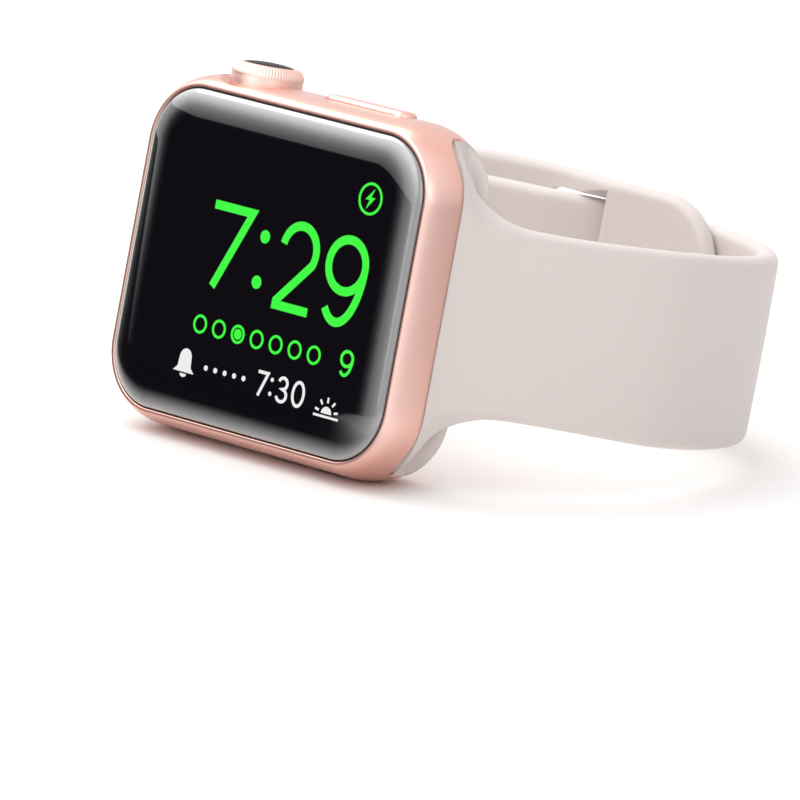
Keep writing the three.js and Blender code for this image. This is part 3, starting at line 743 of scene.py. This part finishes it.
def ease(low, high, value):
    """0 below low and 1 above high, eased between."""
    share = min(max((value - low) / (high - low), 0.0), 1.0)
    return share * share * (3 - 2 * share)


def ribbed(radius, height, angle):
    """Ribs run over the rounded shoulder and die out below it."""
    grip = 0.0 if radius < 2.55 else ease(CROWN_SHOULDER - 0.1, CROWN_SHOULDER + 0.2, height)
    ripple = 0.5 - 0.5 * np.cos(angle * RIB_COUNT)
    return radius - RIB_DEPTH * grip * ripple**1.5


shoulder = [
    (2.56 + 0.84 * math.cos(a), CROWN_SHOULDER + (CROWN_END - CROWN_SHOULDER) * math.sin(a))
    for a in np.linspace(0, math.pi / 2, 12)
]


def barrel_fall(z):
    """How far the knob's wall has fallen in from its widest turn at height z."""
    return 0.05 * ((z - 16.5) / 0.9) ** 2


knob_profile = [(2.85, 16.0), (2.9, 15.15), (2.96, 15.09), (3.08, 15.1), (3.22, 15.2), (3.31, 15.36)]
wall_heights = np.linspace(15.6, CROWN_SHOULDER - 0.1, 10)
knob_profile += [(CROWN_RADIUS - barrel_fall(z), z) for z in wall_heights] + shoulder
knob_profile += [(2.46, CROWN_END - 0.02), (2.4, CROWN_END - 0.1), (2.38, CROWN_END - 0.4)]
knob_shape = turned(knob_profile, crown_centre, "z", RIB_COUNT * 8, swell=ribbed)
add_piece("crown_rim", knob_shape, rose_knob_painted_lighter, "crown", "knob_metal", ["crown_knob"], 50)

# %% Dark disc on its end
disc_lacquer = Finish("disc_lacquer", Specular_IOR_Level=0.06)
disc_fleck = disc_lacquer.noise(1.2, 4.0)
disc_lacquer.speckle(disc_fleck, (0.02, 0.010, 0.010), (0.035, 0.018, 0.017), 0.35, 0.12)
disc_profile = [(2.3, CROWN_END - 0.4), (2.35, CROWN_END - 0.1)]
dome_turn = np.linspace(0.1, 1.48, 12)
disc_profile += [(2.35 * math.cos(a), CROWN_END - 0.08 + 0.3 * math.sin(a)) for a in dome_turn]
disc_shape = turned(disc_profile, crown_centre, "z", 96)
add_piece("crown_end_disc", disc_shape, disc_lacquer, "crown", "dark_disc", ["crown_disc"], 40)

# %% [markdown]
# ## Buttons
# The side button is a pill that stands 0.4 mm proud of the flank, and the two release
# buttons are smaller pills let into the back. Each is a short loft whose last rings step in along a
# quarter circle, which is the rounded edge a finger feels.


# %% Pills with rounded edges
def rounded_levels(low, high, radius, steps=6):
    """(height, inset) levels of a pill whose far edge is rounded."""
    angle = np.linspace(0, math.pi / 2, steps + 1)
    sign = 1 if high > low else -1
    return [(low, 0.0)] + [
        (high - sign * radius * (1 - math.sin(a)), radius * (1 - math.cos(a))) for a in angle
    ]


side_levels = rounded_levels(15.95, 17.05, 0.45)
side_shape = pill_along_z(BUTTON_X, BUTTON_HALF_LENGTH, BUTTON_HALF_HEIGHT, *side_levels)
add_piece("side_pill", side_shape, rose_satin, "side_button", "rose_aluminium", ["side_button"], 40)
release_levels = rounded_levels(7.1, 9.15, 0.18)
for side, hour in [(1, "6"), (-1, "12")]:
    release = pill_along_y(side * RELEASE_X, *[size - 0.08 for size in release_size], *release_levels)
    piece_name, body = f"release_pill_{hour}", f"release_button_{hour}"
    add_piece(piece_name, release, rose_satin, body, "rose_aluminium", [body], 40)

# %% [markdown]
# ## The back
# The middle of the back is a shallow dome: a light ceramic ring round a dark glass window. Behind the
# window sit two green emitters and two light sensors, seen as faint discs through the glass. They are
# part of the window's own pattern here, drawn by distance from their centres.

# %% Ceramic ring
ceramic = Finish("ceramic", Coat_Weight=0.6, Coat_Roughness=0.06)
ceramic_cloud = ceramic.noise(0.35, 4.0)
ceramic.speckle(ceramic_cloud, (0.70, 0.665, 0.65), (0.76, 0.73, 0.72), 0.16, 0.1)
cover_profile = [(7.7, 8.92), (12.4, 8.92), (12.4, 9.18), (12.32, 9.27), (12.1, 9.37), (11.6, 9.52)]
cover_profile += [(11.0, 9.67), (10.2, 9.83), (9.4, 9.97), (8.5, 10.1), (7.8, 10.18), (7.7, 10.16)]
ring_shape = turned(cover_profile, (0, 0), "y", 128, looped=True)
add_piece("back_ring", ring_shape, ceramic, "watch", "cover_ceramic", ["back_cover"], 50)

# %% Dark window with its sensors
window_dark = Finish("window_dark", IOR=1.6, Coat_Weight=0.5, Coat_Roughness=0.03)
across, up = window_dark.watch_axis(0), window_dark.watch_axis(2)


def sensor_disc(x, z, radius):
    """1 inside a disc that lies at watch x, z."""
    distance = (((across - x) ** 2.0) + ((up - z) ** 2.0)) ** 0.5
    return 1 - window_dark.between(distance, radius - 0.12, radius + 0.12)


emitters = sensor_disc(-3.0, 0.0, 1.6) + sensor_disc(3.0, 0.0, 1.6)
receivers = sensor_disc(0.0, 3.0, 1.6) + sensor_disc(0.0, -3.0, 1.6)
window_haze = window_dark.noise(0.8, 3.0)
dark_glass = window_dark.blend(window_haze, (0.012, 0.010, 0.012), (0.02, 0.017, 0.02))
with_emitters = window_dark.blend(emitters, dark_glass, (0.05, 0.16, 0.07))
window_dark.paint(
    Base_Color=window_dark.blend(receivers, with_emitters, (0.075, 0.06, 0.06)),
    Roughness=0.04 + window_haze * 0.04,
)
window_profile = [(6.6, 8.92), (7.6, 8.92), (7.6, 10.17), (7.54, 10.22), (6.9, 10.31), (6.2, 10.4)]
window_profile += [(5.4, 10.48), (4.8, 10.53), (4.4, WINDOW_TOP), (2.0, WINDOW_TOP)]
dome_shape = turned(window_profile, (0, 0), "y", 128)
add_piece("sensor_dome", dome_shape, window_dark, "watch", "window_glass", ["sensor_window"], 50)

# %% [markdown]
# ## The band
# The band is two mouldings of fluoro-rubber. Each starts as a tongue inside its groove, swells out of
# the case as a lug that follows the case's corners, narrows in a hollow curve to an even strap, and
# runs round the wrist. One half ends in a stud and a slot, and the other, with holes, crosses it: it is
# pinned by the stud, dives through the slot and tucks inside. A rubber moulding has no seams between
# these stretches, so each half is one loft whose section changes along its travel.

# %% The loop that the band follows
BAND_START, START_HANDLE = (19.3, 3.75), (0.8, 2.35)
BAND_WIDEST, WIDEST_REACH = (30.4, 23.9), (5.8, 18.8)
BAND_BACK, BACK_REACH = 48.5, 19.8


def bezier(start, start_handle, end_handle, end, steps=400):
    t = np.linspace(0, 1, steps + 1)[:, None]
    curve = (1 - t) ** 3 * np.array(start) + 3 * (1 - t) ** 2 * t * np.array(start_handle)
    return curve + 3 * (1 - t) * t**2 * np.array(end_handle) + t**3 * np.array(end)


def band_loop():
    (start_x, start_y), (wide_x, wide_y) = BAND_START, BAND_WIDEST
    first_handle = (start_x + START_HANDLE[0], start_y + START_HANDLE[1])
    lower = bezier(BAND_START, first_handle, (wide_x, wide_y - WIDEST_REACH[0]), BAND_WIDEST)
    upper = bezier(BAND_WIDEST, (wide_x, wide_y + WIDEST_REACH[1]), (BACK_REACH, BAND_BACK), (0, BAND_BACK))
    half = np.vstack([lower, upper[1:]])
    return np.vstack([half, (half * (-1, 1))[-2::-1]])


LOOP = band_loop()
TRAVEL = np.concatenate([[0], np.cumsum(np.linalg.norm(np.diff(LOOP, axis=0), axis=1))])
LOOP_LENGTH = TRAVEL[-1]


def loop_at(travel):
    """The outer surface's point and its inward direction at a travel from the six o'clock lug."""
    spots_near = np.array([travel - 0.15, travel, travel + 0.15]).clip(0, LOOP_LENGTH)
    points = np.column_stack([np.interp(spots_near, TRAVEL, LOOP[:, axis]) for axis in (0, 1)])
    tangent = points[2] - points[0]
    tangent /= np.linalg.norm(tangent)
    return points[1], np.array([-tangent[1], tangent[0]])


print("the loop is", round(LOOP_LENGTH, 1), "mm long")

# %% Widths, layers and lift along the travel
BAND_THICKNESS, LAYER_STEP, CLOSURE_LIFT = 2.2, 2.38, 1.2
CROSSING = (67.9, 78.1)
PIN_AT, PIN_STRAP_END, TAIL_END = 61.0, 52.0, 100.0
LUG_TRAVEL, LUG_HALF_WIDTH = 5.2, 15.5


def lift(travel):
    return CLOSURE_LIFT * ease(26, 60, travel) * (1 - ease(80, 118, travel))


def strap_half_width(from_lug):
    """Half the width past the lug, and the lug's hollow curve down to it."""
    even = 8.75 + 0.35 * ease(10, 26, from_lug)
    hollow = math.exp(-((max(from_lug, 0.0) / 2.5) ** 1.5))
    return even + (LUG_HALF_WIDTH - 8.75) * hollow


def rounded_end(distance, length):
    share = min(max(1 - distance / length, 0.0), 1.0)
    return (1 - share**2.3) ** (1 / 2.3)


def corner_drop(z):
    """How far the case outline has fallen back at height z."""
    over = max(0.0, abs(z) - (CASE_HALF_Z - CASE_CORNER))
    return CASE_CORNER - math.sqrt(max(CASE_CORNER**2 - over**2, 0.0))


# %% One section of the band
ACROSS_STEPS, ROUND_STEPS = 26, 8


def bar_section(half_width, thickness, reach, front, back, fullness=2.0):
    """A flat bar with rounded edges, as (across, through) points from its outer face at through = 0.
    The rounding runs in by reach across the bar, and through it by front and back from either face.
    Fullness 2 rounds it as an ellipse, and less flattens it towards a chamfer."""
    run = np.linspace(-1, 1, ACROSS_STEPS + 1) * (half_width - reach)
    turn = np.linspace(0, math.pi / 2, ROUND_STEPS + 1)
    near, far = np.sin(turn) ** (2 / fullness), 1 - np.cos(turn) ** (2 / fullness)
    outer = np.column_stack([run, np.zeros_like(run)])
    right_front = np.column_stack([half_width - reach + reach * near, front * far])
    right_back = np.column_stack(
        [half_width - reach + reach * np.cos(turn), thickness - back + back * np.sin(turn)]
    )
    inner = np.column_stack([run[::-1], np.full_like(run, thickness)])
    left_back = right_back[::-1] * (-1, 1)
    left_front = right_front[::-1] * (-1, 1)
    return np.vstack([outer, right_front[1:], right_back, inner[1:], left_back[1:], left_front[:-1]])


def edge_reach(from_lug):
    """How far in the rounding runs: broad on the lug's shoulders, even along the strap."""
    crease_height = 8.05 + 3.2 * math.exp(-max(from_lug, 0.0) / 1.2)
    return max(0.9, strap_half_width(from_lug) - crease_height)


def edge_fullness(from_lug):
    return 1.45 + 0.55 * ease(3.0, 9.0, from_lug)


def strap_ring(travel, from_lug, half_width, thickness, inset):
    """A section of the even strap, crowned slightly on its outer face."""
    place, inward = loop_at(travel)
    reach = min(edge_reach(from_lug), half_width * 0.45)
    front = (0.5 + 0.12 * (1 - ease(5, 14, from_lug))) * min(thickness, half_width)
    back = 0.92 * (min(thickness, half_width) - front)
    ring = []
    section = bar_section(half_width, thickness, reach, front, back, edge_fullness(from_lug))
    for across, through in section:
        crown = 0.1 * (across / half_width) ** 2 * (1 - through / thickness)
        x, y = place + inward * (inset + through + crown)
        ring.append((x, y, lift(travel) + across))
    return ring


# %% The lug and its tongue
TONGUE_STATIONS = [(15.72, 0.75, 0.0), (15.95, 1.3, 0.1), (16.4, 1.75, 0.25), (17.1, 2.07, 0.5)]
TONGUE_STATIONS += [(17.75, 2.17, 0.72), (18.3, 2.08, 0.9), (18.75, 1.97, 0.97)]


def lug_ring(from_lug):
    """A section where the band hugs the case. Its middle leads and its ends follow the case's corner."""
    share = from_lug / LUG_TRAVEL
    place, inward = loop_at(from_lug)
    seam_back = np.array([18.72, 7.72])
    strap_back = place + inward * BAND_THICKNESS
    back = seam_back + (strap_back - seam_back) * (ease(-0.15, 1.0, share) if share > 0 else 0)
    thickness = float(np.linalg.norm(back - place))
    half_width = strap_half_width(from_lug)
    follow = (1 - ease(0.0, 1.0, share)) ** 1.15
    front = thickness * (0.2 + 0.38 * ease(0.0, 2.0, from_lug))
    ring = []
    edges = (edge_reach(from_lug), front, thickness * 0.3, edge_fullness(from_lug))
    for across, through in bar_section(half_width, thickness, *edges):
        level = through / thickness
        x, y = place + (back - place) * level
        drop = corner_drop(LUG_HALF_WIDTH * across / half_width) * follow
        crown = 0.1 * (across / half_width) ** 2 * (1 - level) * share
        ring.append((x - drop + inward[0] * crown, y + inward[1] * crown, across))
    return ring


def tongue_ring(x_centre, half_height, follow):
    ring = []
    edge = half_height * 0.7
    section = bar_section(LUG_HALF_WIDTH, 2 * half_height, edge_reach(0), edge, edge)
    for across, through in section:
        drop = corner_drop(across) * follow
        ring.append((x_centre - drop, GROOVE_Y - half_height + through, across))
    return ring


def lug_rings():
    travels = [0.0, 0.3, 0.7, 1.1, 1.5, 1.9, 2.3, 2.7, 3.1, 3.5, 3.9, 4.3, 4.7, LUG_TRAVEL]
    return [tongue_ring(*station) for station in TONGUE_STATIONS] + [lug_ring(t) for t in travels]


def mirrored(ring):
    return [(-x, y, z) for x, y, z in ring]


# %% Tools that cut along the band's own normal
def through_band(travel, half_travel, half_width, corner, depth):
    """A rounded bar through the layer that starts at depth, flared at both faces so the edge is soft."""
    place, inward = loop_at(travel)
    along = np.array([inward[1], -inward[0]])
    middle = lift(travel)
    flare = [(-1.2, 0.9), (-0.06, 0.3), (0.1, 0.12), (0.34, 0.0)]
    levels = flare + [(BAND_THICKNESS - level, extra) for level, extra in reversed(flare)]
    rings = []
    for level, extra in levels:
        outline = rounded_outline(half_travel + extra, half_width + extra, corner + extra, 10, 4)
        centre = place + inward * (depth + level)
        xy = centre + outline[:, :1] * along
        rings.append(np.column_stack([xy, outline[:, 1] + middle]))
    return loft(rings)


def crossing(travel):
    return LAYER_STEP * ease(*CROSSING, travel)


# %% [markdown]
# ## Band rubber
# This rubber is dense and silky. Its skin copies the mould's fine spark-eroded texture, so it is matt
# with a soft sheen at grazing angles, and its pale stone colour has a barely warmer cast in thicker
# places. Handling leaves slightly smoother patches, which only the roughness shows.

# %% Stone rubber
stone_rubber = Finish("stone_rubber", Specular_IOR_Level=0.4, Sheen_Weight=0.12, Sheen_Roughness=0.4)
mould_skin = stone_rubber.noise(7.0, 3.0)
handled = stone_rubber.between(stone_rubber.noise(0.05, 3.0), 0.35, 0.7)
clouded = stone_rubber.noise(0.025, 2.0)
skin_tone = clouded * 0.7 + mould_skin * 0.3
stone_rubber.paint(
    Base_Color=stone_rubber.blend(skin_tone, (0.705, 0.642, 0.618), (0.668, 0.602, 0.578)),
    Roughness=0.5 + mould_skin * 0.12 - handled * 0.06,
)
stone_rubber.grain(mould_skin, 0.006, 0.7)
print("stone rubber made")


# %% The half with holes
def travels_between(start, end, step):
    return np.linspace(start, end, max(2, int(round(abs(end - start) / step)) + 1)).tolist()


def hole_strap_rings():
    rings = lug_rings()
    travels = travels_between(LUG_TRAVEL, TAIL_END - 1.2, 0.75)[1:]
    travels += [TAIL_END - d for d in (0.8, 0.5, 0.28, 0.13, 0.04)]
    for travel in travels:
        taper = 1 - 0.065 * ease(20, 95, travel)
        half_width = strap_half_width(travel) * taper * rounded_end(TAIL_END - travel, 7)
        thickness = BAND_THICKNESS - 0.5 * ease(90, TAIL_END, travel)
        rings.append(strap_ring(travel, travel, half_width, thickness, 0.02 + crossing(travel)))
    return rings


hole_strap = make_object("band_with_holes", loft(hole_strap_rings()))
HOLE_PITCH, HOLE_COUNT, HOLE_RADIUS = 6.5, 7, 1.75
hole_size = (HOLE_RADIUS + 0.2, HOLE_RADIUS, HOLE_RADIUS - 0.01)
hole_travels = [PIN_AT + (number - 1) * HOLE_PITCH for number in range(HOLE_COUNT)]
carve(hole_strap, [through_band(travel, *hole_size, 0.02 + crossing(travel)) for travel in hole_travels])
finish_piece(hole_strap, stone_rubber, "band", "band_rubber", ["strap_holes"], 50)


# %% The half with the stud
def pin_strap_rings():
    rings = [mirrored(ring) for ring in lug_rings()]
    lug_end = LOOP_LENGTH - LUG_TRAVEL
    travels = travels_between(lug_end, PIN_STRAP_END + 1.8, 0.75)[1:]
    travels += [PIN_STRAP_END + d for d in (1.3, 0.9, 0.55, 0.3, 0.14, 0.05)]
    for travel in travels:
        wide = 1.75 * (1 - ease(84, 116, travel))
        tip = rounded_end(travel - PIN_STRAP_END, 9.5)
        half_width = (strap_half_width(LOOP_LENGTH - travel) + wide) * tip
        thickness = BAND_THICKNESS - 0.5 * (1 - ease(PIN_STRAP_END, 60, travel))
        inset = 0.02 + LAYER_STEP - crossing(travel)
        rings.append(strap_ring(travel, LOOP_LENGTH - travel, half_width, thickness, inset))
    return rings


pin_strap = make_object("band_with_stud", loft(pin_strap_rings()))
SLOT_FROM, SLOT_TO, SLOT_HALF_WIDTH = 67.4, 78.6, 8.85
slot_middle = (SLOT_FROM + SLOT_TO) / 2
slot_tool = through_band(slot_middle, (SLOT_TO - SLOT_FROM) / 2, SLOT_HALF_WIDTH, 1.6, LAYER_STEP / 2)
pin_tool = through_band(PIN_AT, 1.45, 1.45, 1.44, LAYER_STEP)
carve(pin_strap, [slot_tool, pin_tool])
finish_piece(pin_strap, stone_rubber, "band", "band_rubber", ["strap_pin"], 50)


# %% The stud
def stud_shape():
    place, inward = loop_at(PIN_AT)
    along = np.array([inward[1], -inward[0]])
    deep = LAYER_STEP + BAND_THICKNESS
    head = [(0.3, -0.76), (1.4, -0.755), (2.1, -0.73), (2.5, -0.64), (2.72, -0.48)]
    head += [(2.8, -0.3), (2.78, -0.08)]
    shank = [(1.35, -0.06), (1.35, deep + 0.06)]
    foot_steps = [(2.3, 0.08), (2.42, 0.16), (2.42, 0.36), (2.3, 0.46), (0.3, 0.54)]
    foot = [(radius, deep + step) for radius, step in foot_steps]
    angle = np.linspace(0, 2 * math.pi, 72, endpoint=False)
    rings = []
    for radius, depth in head + shank + foot:
        xy = place + inward * depth + (radius * np.cos(angle))[:, None] * along
        rings.append(np.column_stack([xy, lift(PIN_AT) + radius * np.sin(angle)]))
    return loft(rings)


add_piece("band_stud", stud_shape(), rose_satin, "band", "stud_metal", ["pin_stud"], 45)

# %% [markdown]
# ## Inside the case
# The inner pieces are hidden once the watch is shut, but they show through the slots and in any
# cut-away, so each carries a finish of its own kind: brushed steel, copper, epoxy, circuit board, foil
# and black plastic. Their shapes are already right, so they stay as they are and only take materials.


# %% Finishes for the inner pieces
def plain_stock(name, light_tone, dark_tone, roughness, per_mm, metallic=0.0, stretch=None, relief=0.004):
    stock = Finish(name, Metallic=metallic)
    figure = stock.noise(per_mm, 3.0, stretch)
    stock.paint(
        Base_Color=stock.blend(figure, light_tone, dark_tone),
        Roughness=roughness + (figure - 0.5) * 0.16,
    )
    stock.grain(figure, relief)
    return stock


inner_finishes = {
    "steel": plain_stock("brushed_steel", (0.62, 0.62, 0.63), (0.42, 0.42, 0.43), 0.32, 1.2, 1.0, (1, 9, 9)),
    "black_plastic": plain_stock("moulded_black", (0.035, 0.035, 0.038), (0.022, 0.022, 0.024), 0.45, 4.0),
    "panel": plain_stock("display_laminate", (0.012, 0.012, 0.016), (0.006, 0.006, 0.008), 0.12, 2.0),
    "board": plain_stock("board_green", (0.03, 0.11, 0.055), (0.015, 0.06, 0.03), 0.4, 1.5),
    "chips": plain_stock("epoxy_black", (0.045, 0.045, 0.05), (0.025, 0.025, 0.028), 0.5, 5.0),
    "cell_foil": plain_stock("cell_foil", (0.40, 0.40, 0.42), (0.28, 0.28, 0.30), 0.38, 0.8, 0.7),
    "copper": plain_stock("copper_winding", (0.80, 0.42, 0.24), (0.55, 0.27, 0.14), 0.3, 3.0, 1.0, (1, 1, 6)),
    "led": plain_stock("emitter_lens", (0.20, 0.55, 0.28), (0.10, 0.34, 0.16), 0.15, 2.0),
    "black_rubber": seal_black,
}
slot_of = {part["node"]: part["material_slot"] for part in frame["record"]["subparts"]}
dressed = 0
for node_name, node_object in frame["nodes"].items():
    inner = inner_finishes.get(slot_of[node_name])
    if inner is not None:
        node_object.data.materials.clear()
        node_object.data.materials.append(inner.material)
        dressed += 1
print("inner pieces dressed:", dressed)

# %% [markdown]
# ## Table, light and camera
# A white table and a white surround keep the eye on the watch. Metal and glass only show what they
# reflect, so the surround is not even: it is brightest overhead, dimmer to the right and dark towards
# the side that the flat glass mirrors. The table's colour is painted near black where reflections see
# it in front, and painted darker behind to the right, a painted dark reflection that only glossy rays
# meet. Together they keep the display black. A brighter scrim just above that side lights the rolled
# upper edge of the glass, and two soft lamps add the broad highlights.

# %% Table
MIRRORED = (-0.684, -0.7285)
table_white = Finish("table_white", Specular_IOR_Level=0.0)
table_grain = table_white.noise(0.02, 3.0)
spot_x = table_white.node("ShaderNodeSeparateXYZ", {}, {0: table_white.place()}, "X")
spot_y = table_white.node("ShaderNodeSeparateXYZ", {}, {0: table_white.place()}, "Y")
GLASS_FOOT = 0.023
outward = (spot_y + GLASS_FOOT) * -1.0
in_glass = table_white.node("ShaderNodeLightPath", output="Is Glossy Ray")
behind = spot_x * 0.7 + spot_y * 0.7
sideways = spot_x * -MIRRORED[1] + (spot_y + GLASS_FOOT) * MIRRORED[0]
to_the_left = 1 - table_white.between(sideways, 0.008, 0.035)
# Painted dark reflection: for glossy rays the table is painted near black in front and to the left, and
# painted darker behind to the right.
painted_dark_patch_front = table_white.between(outward, 0.002, 0.02) * to_the_left
painted_shade_behind_right = table_white.between(behind, 0.0, 0.09) * 0.45
painted_dimming = 1 - (1 - painted_dark_patch_front) * (1 - painted_shade_behind_right)
painted_dark_reflection_mask = painted_dimming * in_glass
table_tone = table_white.blend(table_grain, (0.93, 0.925, 0.92), (0.91, 0.90, 0.895))
table_white.paint(
    Base_Color=table_white.blend(painted_dark_reflection_mask, table_tone, (0.01, 0.01, 0.01)),
    Roughness=0.75 + table_grain * 0.1,
)
table_mesh = bpy.data.meshes.new("table")
reach = 3.0
table_mesh.from_pydata(
    [(-reach, -reach, 0), (reach, -reach, 0), (reach, reach, 0), (-reach, reach, 0)], [], [(0, 1, 2, 3)]
)
table_mesh.materials.append(table_white.material)
add_object("table", table_mesh)

# %% Surround
world = bpy.data.worlds.new("studio")
world.use_nodes = True
bpy.context.scene.world = world
surround = NodeBench(world.node_tree)
background = world.node_tree.nodes["Background"]
toward = surround.node("ShaderNodeTexCoord", output="Generated")


def facing(direction):
    """The cosine between where a ray goes and a direction."""
    unit = Vector(direction).normalized()
    return surround.vector("DOT_PRODUCT", toward, tuple(unit), "Value")


height = facing((0, 0, 1))
overhead = surround.between(height, 0.0, 0.95)
mirrored_side = surround.between(facing((*MIRRORED, 0.04)), 0.92, 0.99)
shaded = 1 - mirrored_side * 0.98
far_side = surround.between(facing((1.0, 0.3, 0.0)), 0.1, 0.9)
soft_level = (0.6 + overhead * 1.05) * shaded * (1 - far_side * 0.7)
sharp_level = (0.93 + overhead * 0.25) * shaded
scrim_edge = surround.between(facing((0.15, 0.0, 1.0)), 0.074, 0.083)
scrim_rise = surround.between(height, 0.05, 0.66)
scrim_width = surround.between(facing((*MIRRORED, 0.4)), 0.45, 0.75)
scrim = scrim_edge * scrim_width * (0.75 + scrim_rise * 1.3)
path = surround.node("ShaderNodeLightPath", output="Is Glossy Ray")
seen = surround.node("ShaderNodeLightPath", output="Is Camera Ray")
level = soft_level * (1 - path) + (sharp_level + scrim) * path
surround.feed(background.inputs["Strength"], level * (1 - seen) + seen)
background.inputs["Color"].default_value = (1, 1, 1, 1)


# %% Soft lamps
def soft_lamp(name, place, aim, width, height_size, watts):
    lamp_data = bpy.data.lights.new(name, "AREA")
    lamp_data.shape = "RECTANGLE"
    lamp_data.size, lamp_data.size_y = width, height_size
    lamp_data.energy = watts
    lamp = add_object(name, lamp_data)
    lamp.location = place
    lamp.rotation_euler = (Vector(aim) - Vector(place)).to_track_quat("-Z", "Y").to_euler()
    lamp.visible_camera = False


soft_lamp("overhead_box", (-0.28, -0.02, 0.42), (0, 0, 0.015), 0.42, 0.36, 0.8)
soft_lamp("right_box", (0.45, -0.25, 0.22), (0.01, 0, 0.015), 0.3, 0.3, 0.22)

# %% Camera
CAMERA_HEADING, CAMERA_ELEVATION, CAMERA_ROLL = -44.43, 12.1, 3.86
CAMERA_AIM = Vector((10.83, -15.75, 6.73)) * MM
CAMERA_DISTANCE, CAMERA_LENS = 0.95, 466.5

camera_data = bpy.data.cameras.new("camera")
camera_data.lens = CAMERA_LENS
camera_data.sensor_width = 36.0
camera_data.clip_start = 0.05
camera_data.clip_end = 20.0
camera = add_object("camera", camera_data)
heading, elevation = math.radians(CAMERA_HEADING), math.radians(CAMERA_ELEVATION)
level_forward = Vector((math.sin(heading), math.cos(heading), 0.0))
forward = level_forward * math.cos(elevation) - Vector((0, 0, math.sin(elevation)))
level_right = forward.cross(Vector((0, 0, 1))).normalized()
level_up = level_right.cross(forward)
roll = math.radians(CAMERA_ROLL)
right = level_right * math.cos(roll) + level_up * math.sin(roll)
up_direction = right.cross(forward)
turn = Matrix((right, up_direction, -forward)).transposed()
camera.matrix_world = Matrix.Translation(CAMERA_AIM - forward * CAMERA_DISTANCE) @ turn.to_4x4()
bpy.context.scene.camera = camera
bpy.context.scene.view_settings.view_transform = "Standard"
print("camera at", tuple(round(v, 3) for v in camera.matrix_world.translation))

# %% Update the view layer
bpy.context.view_layer.update()
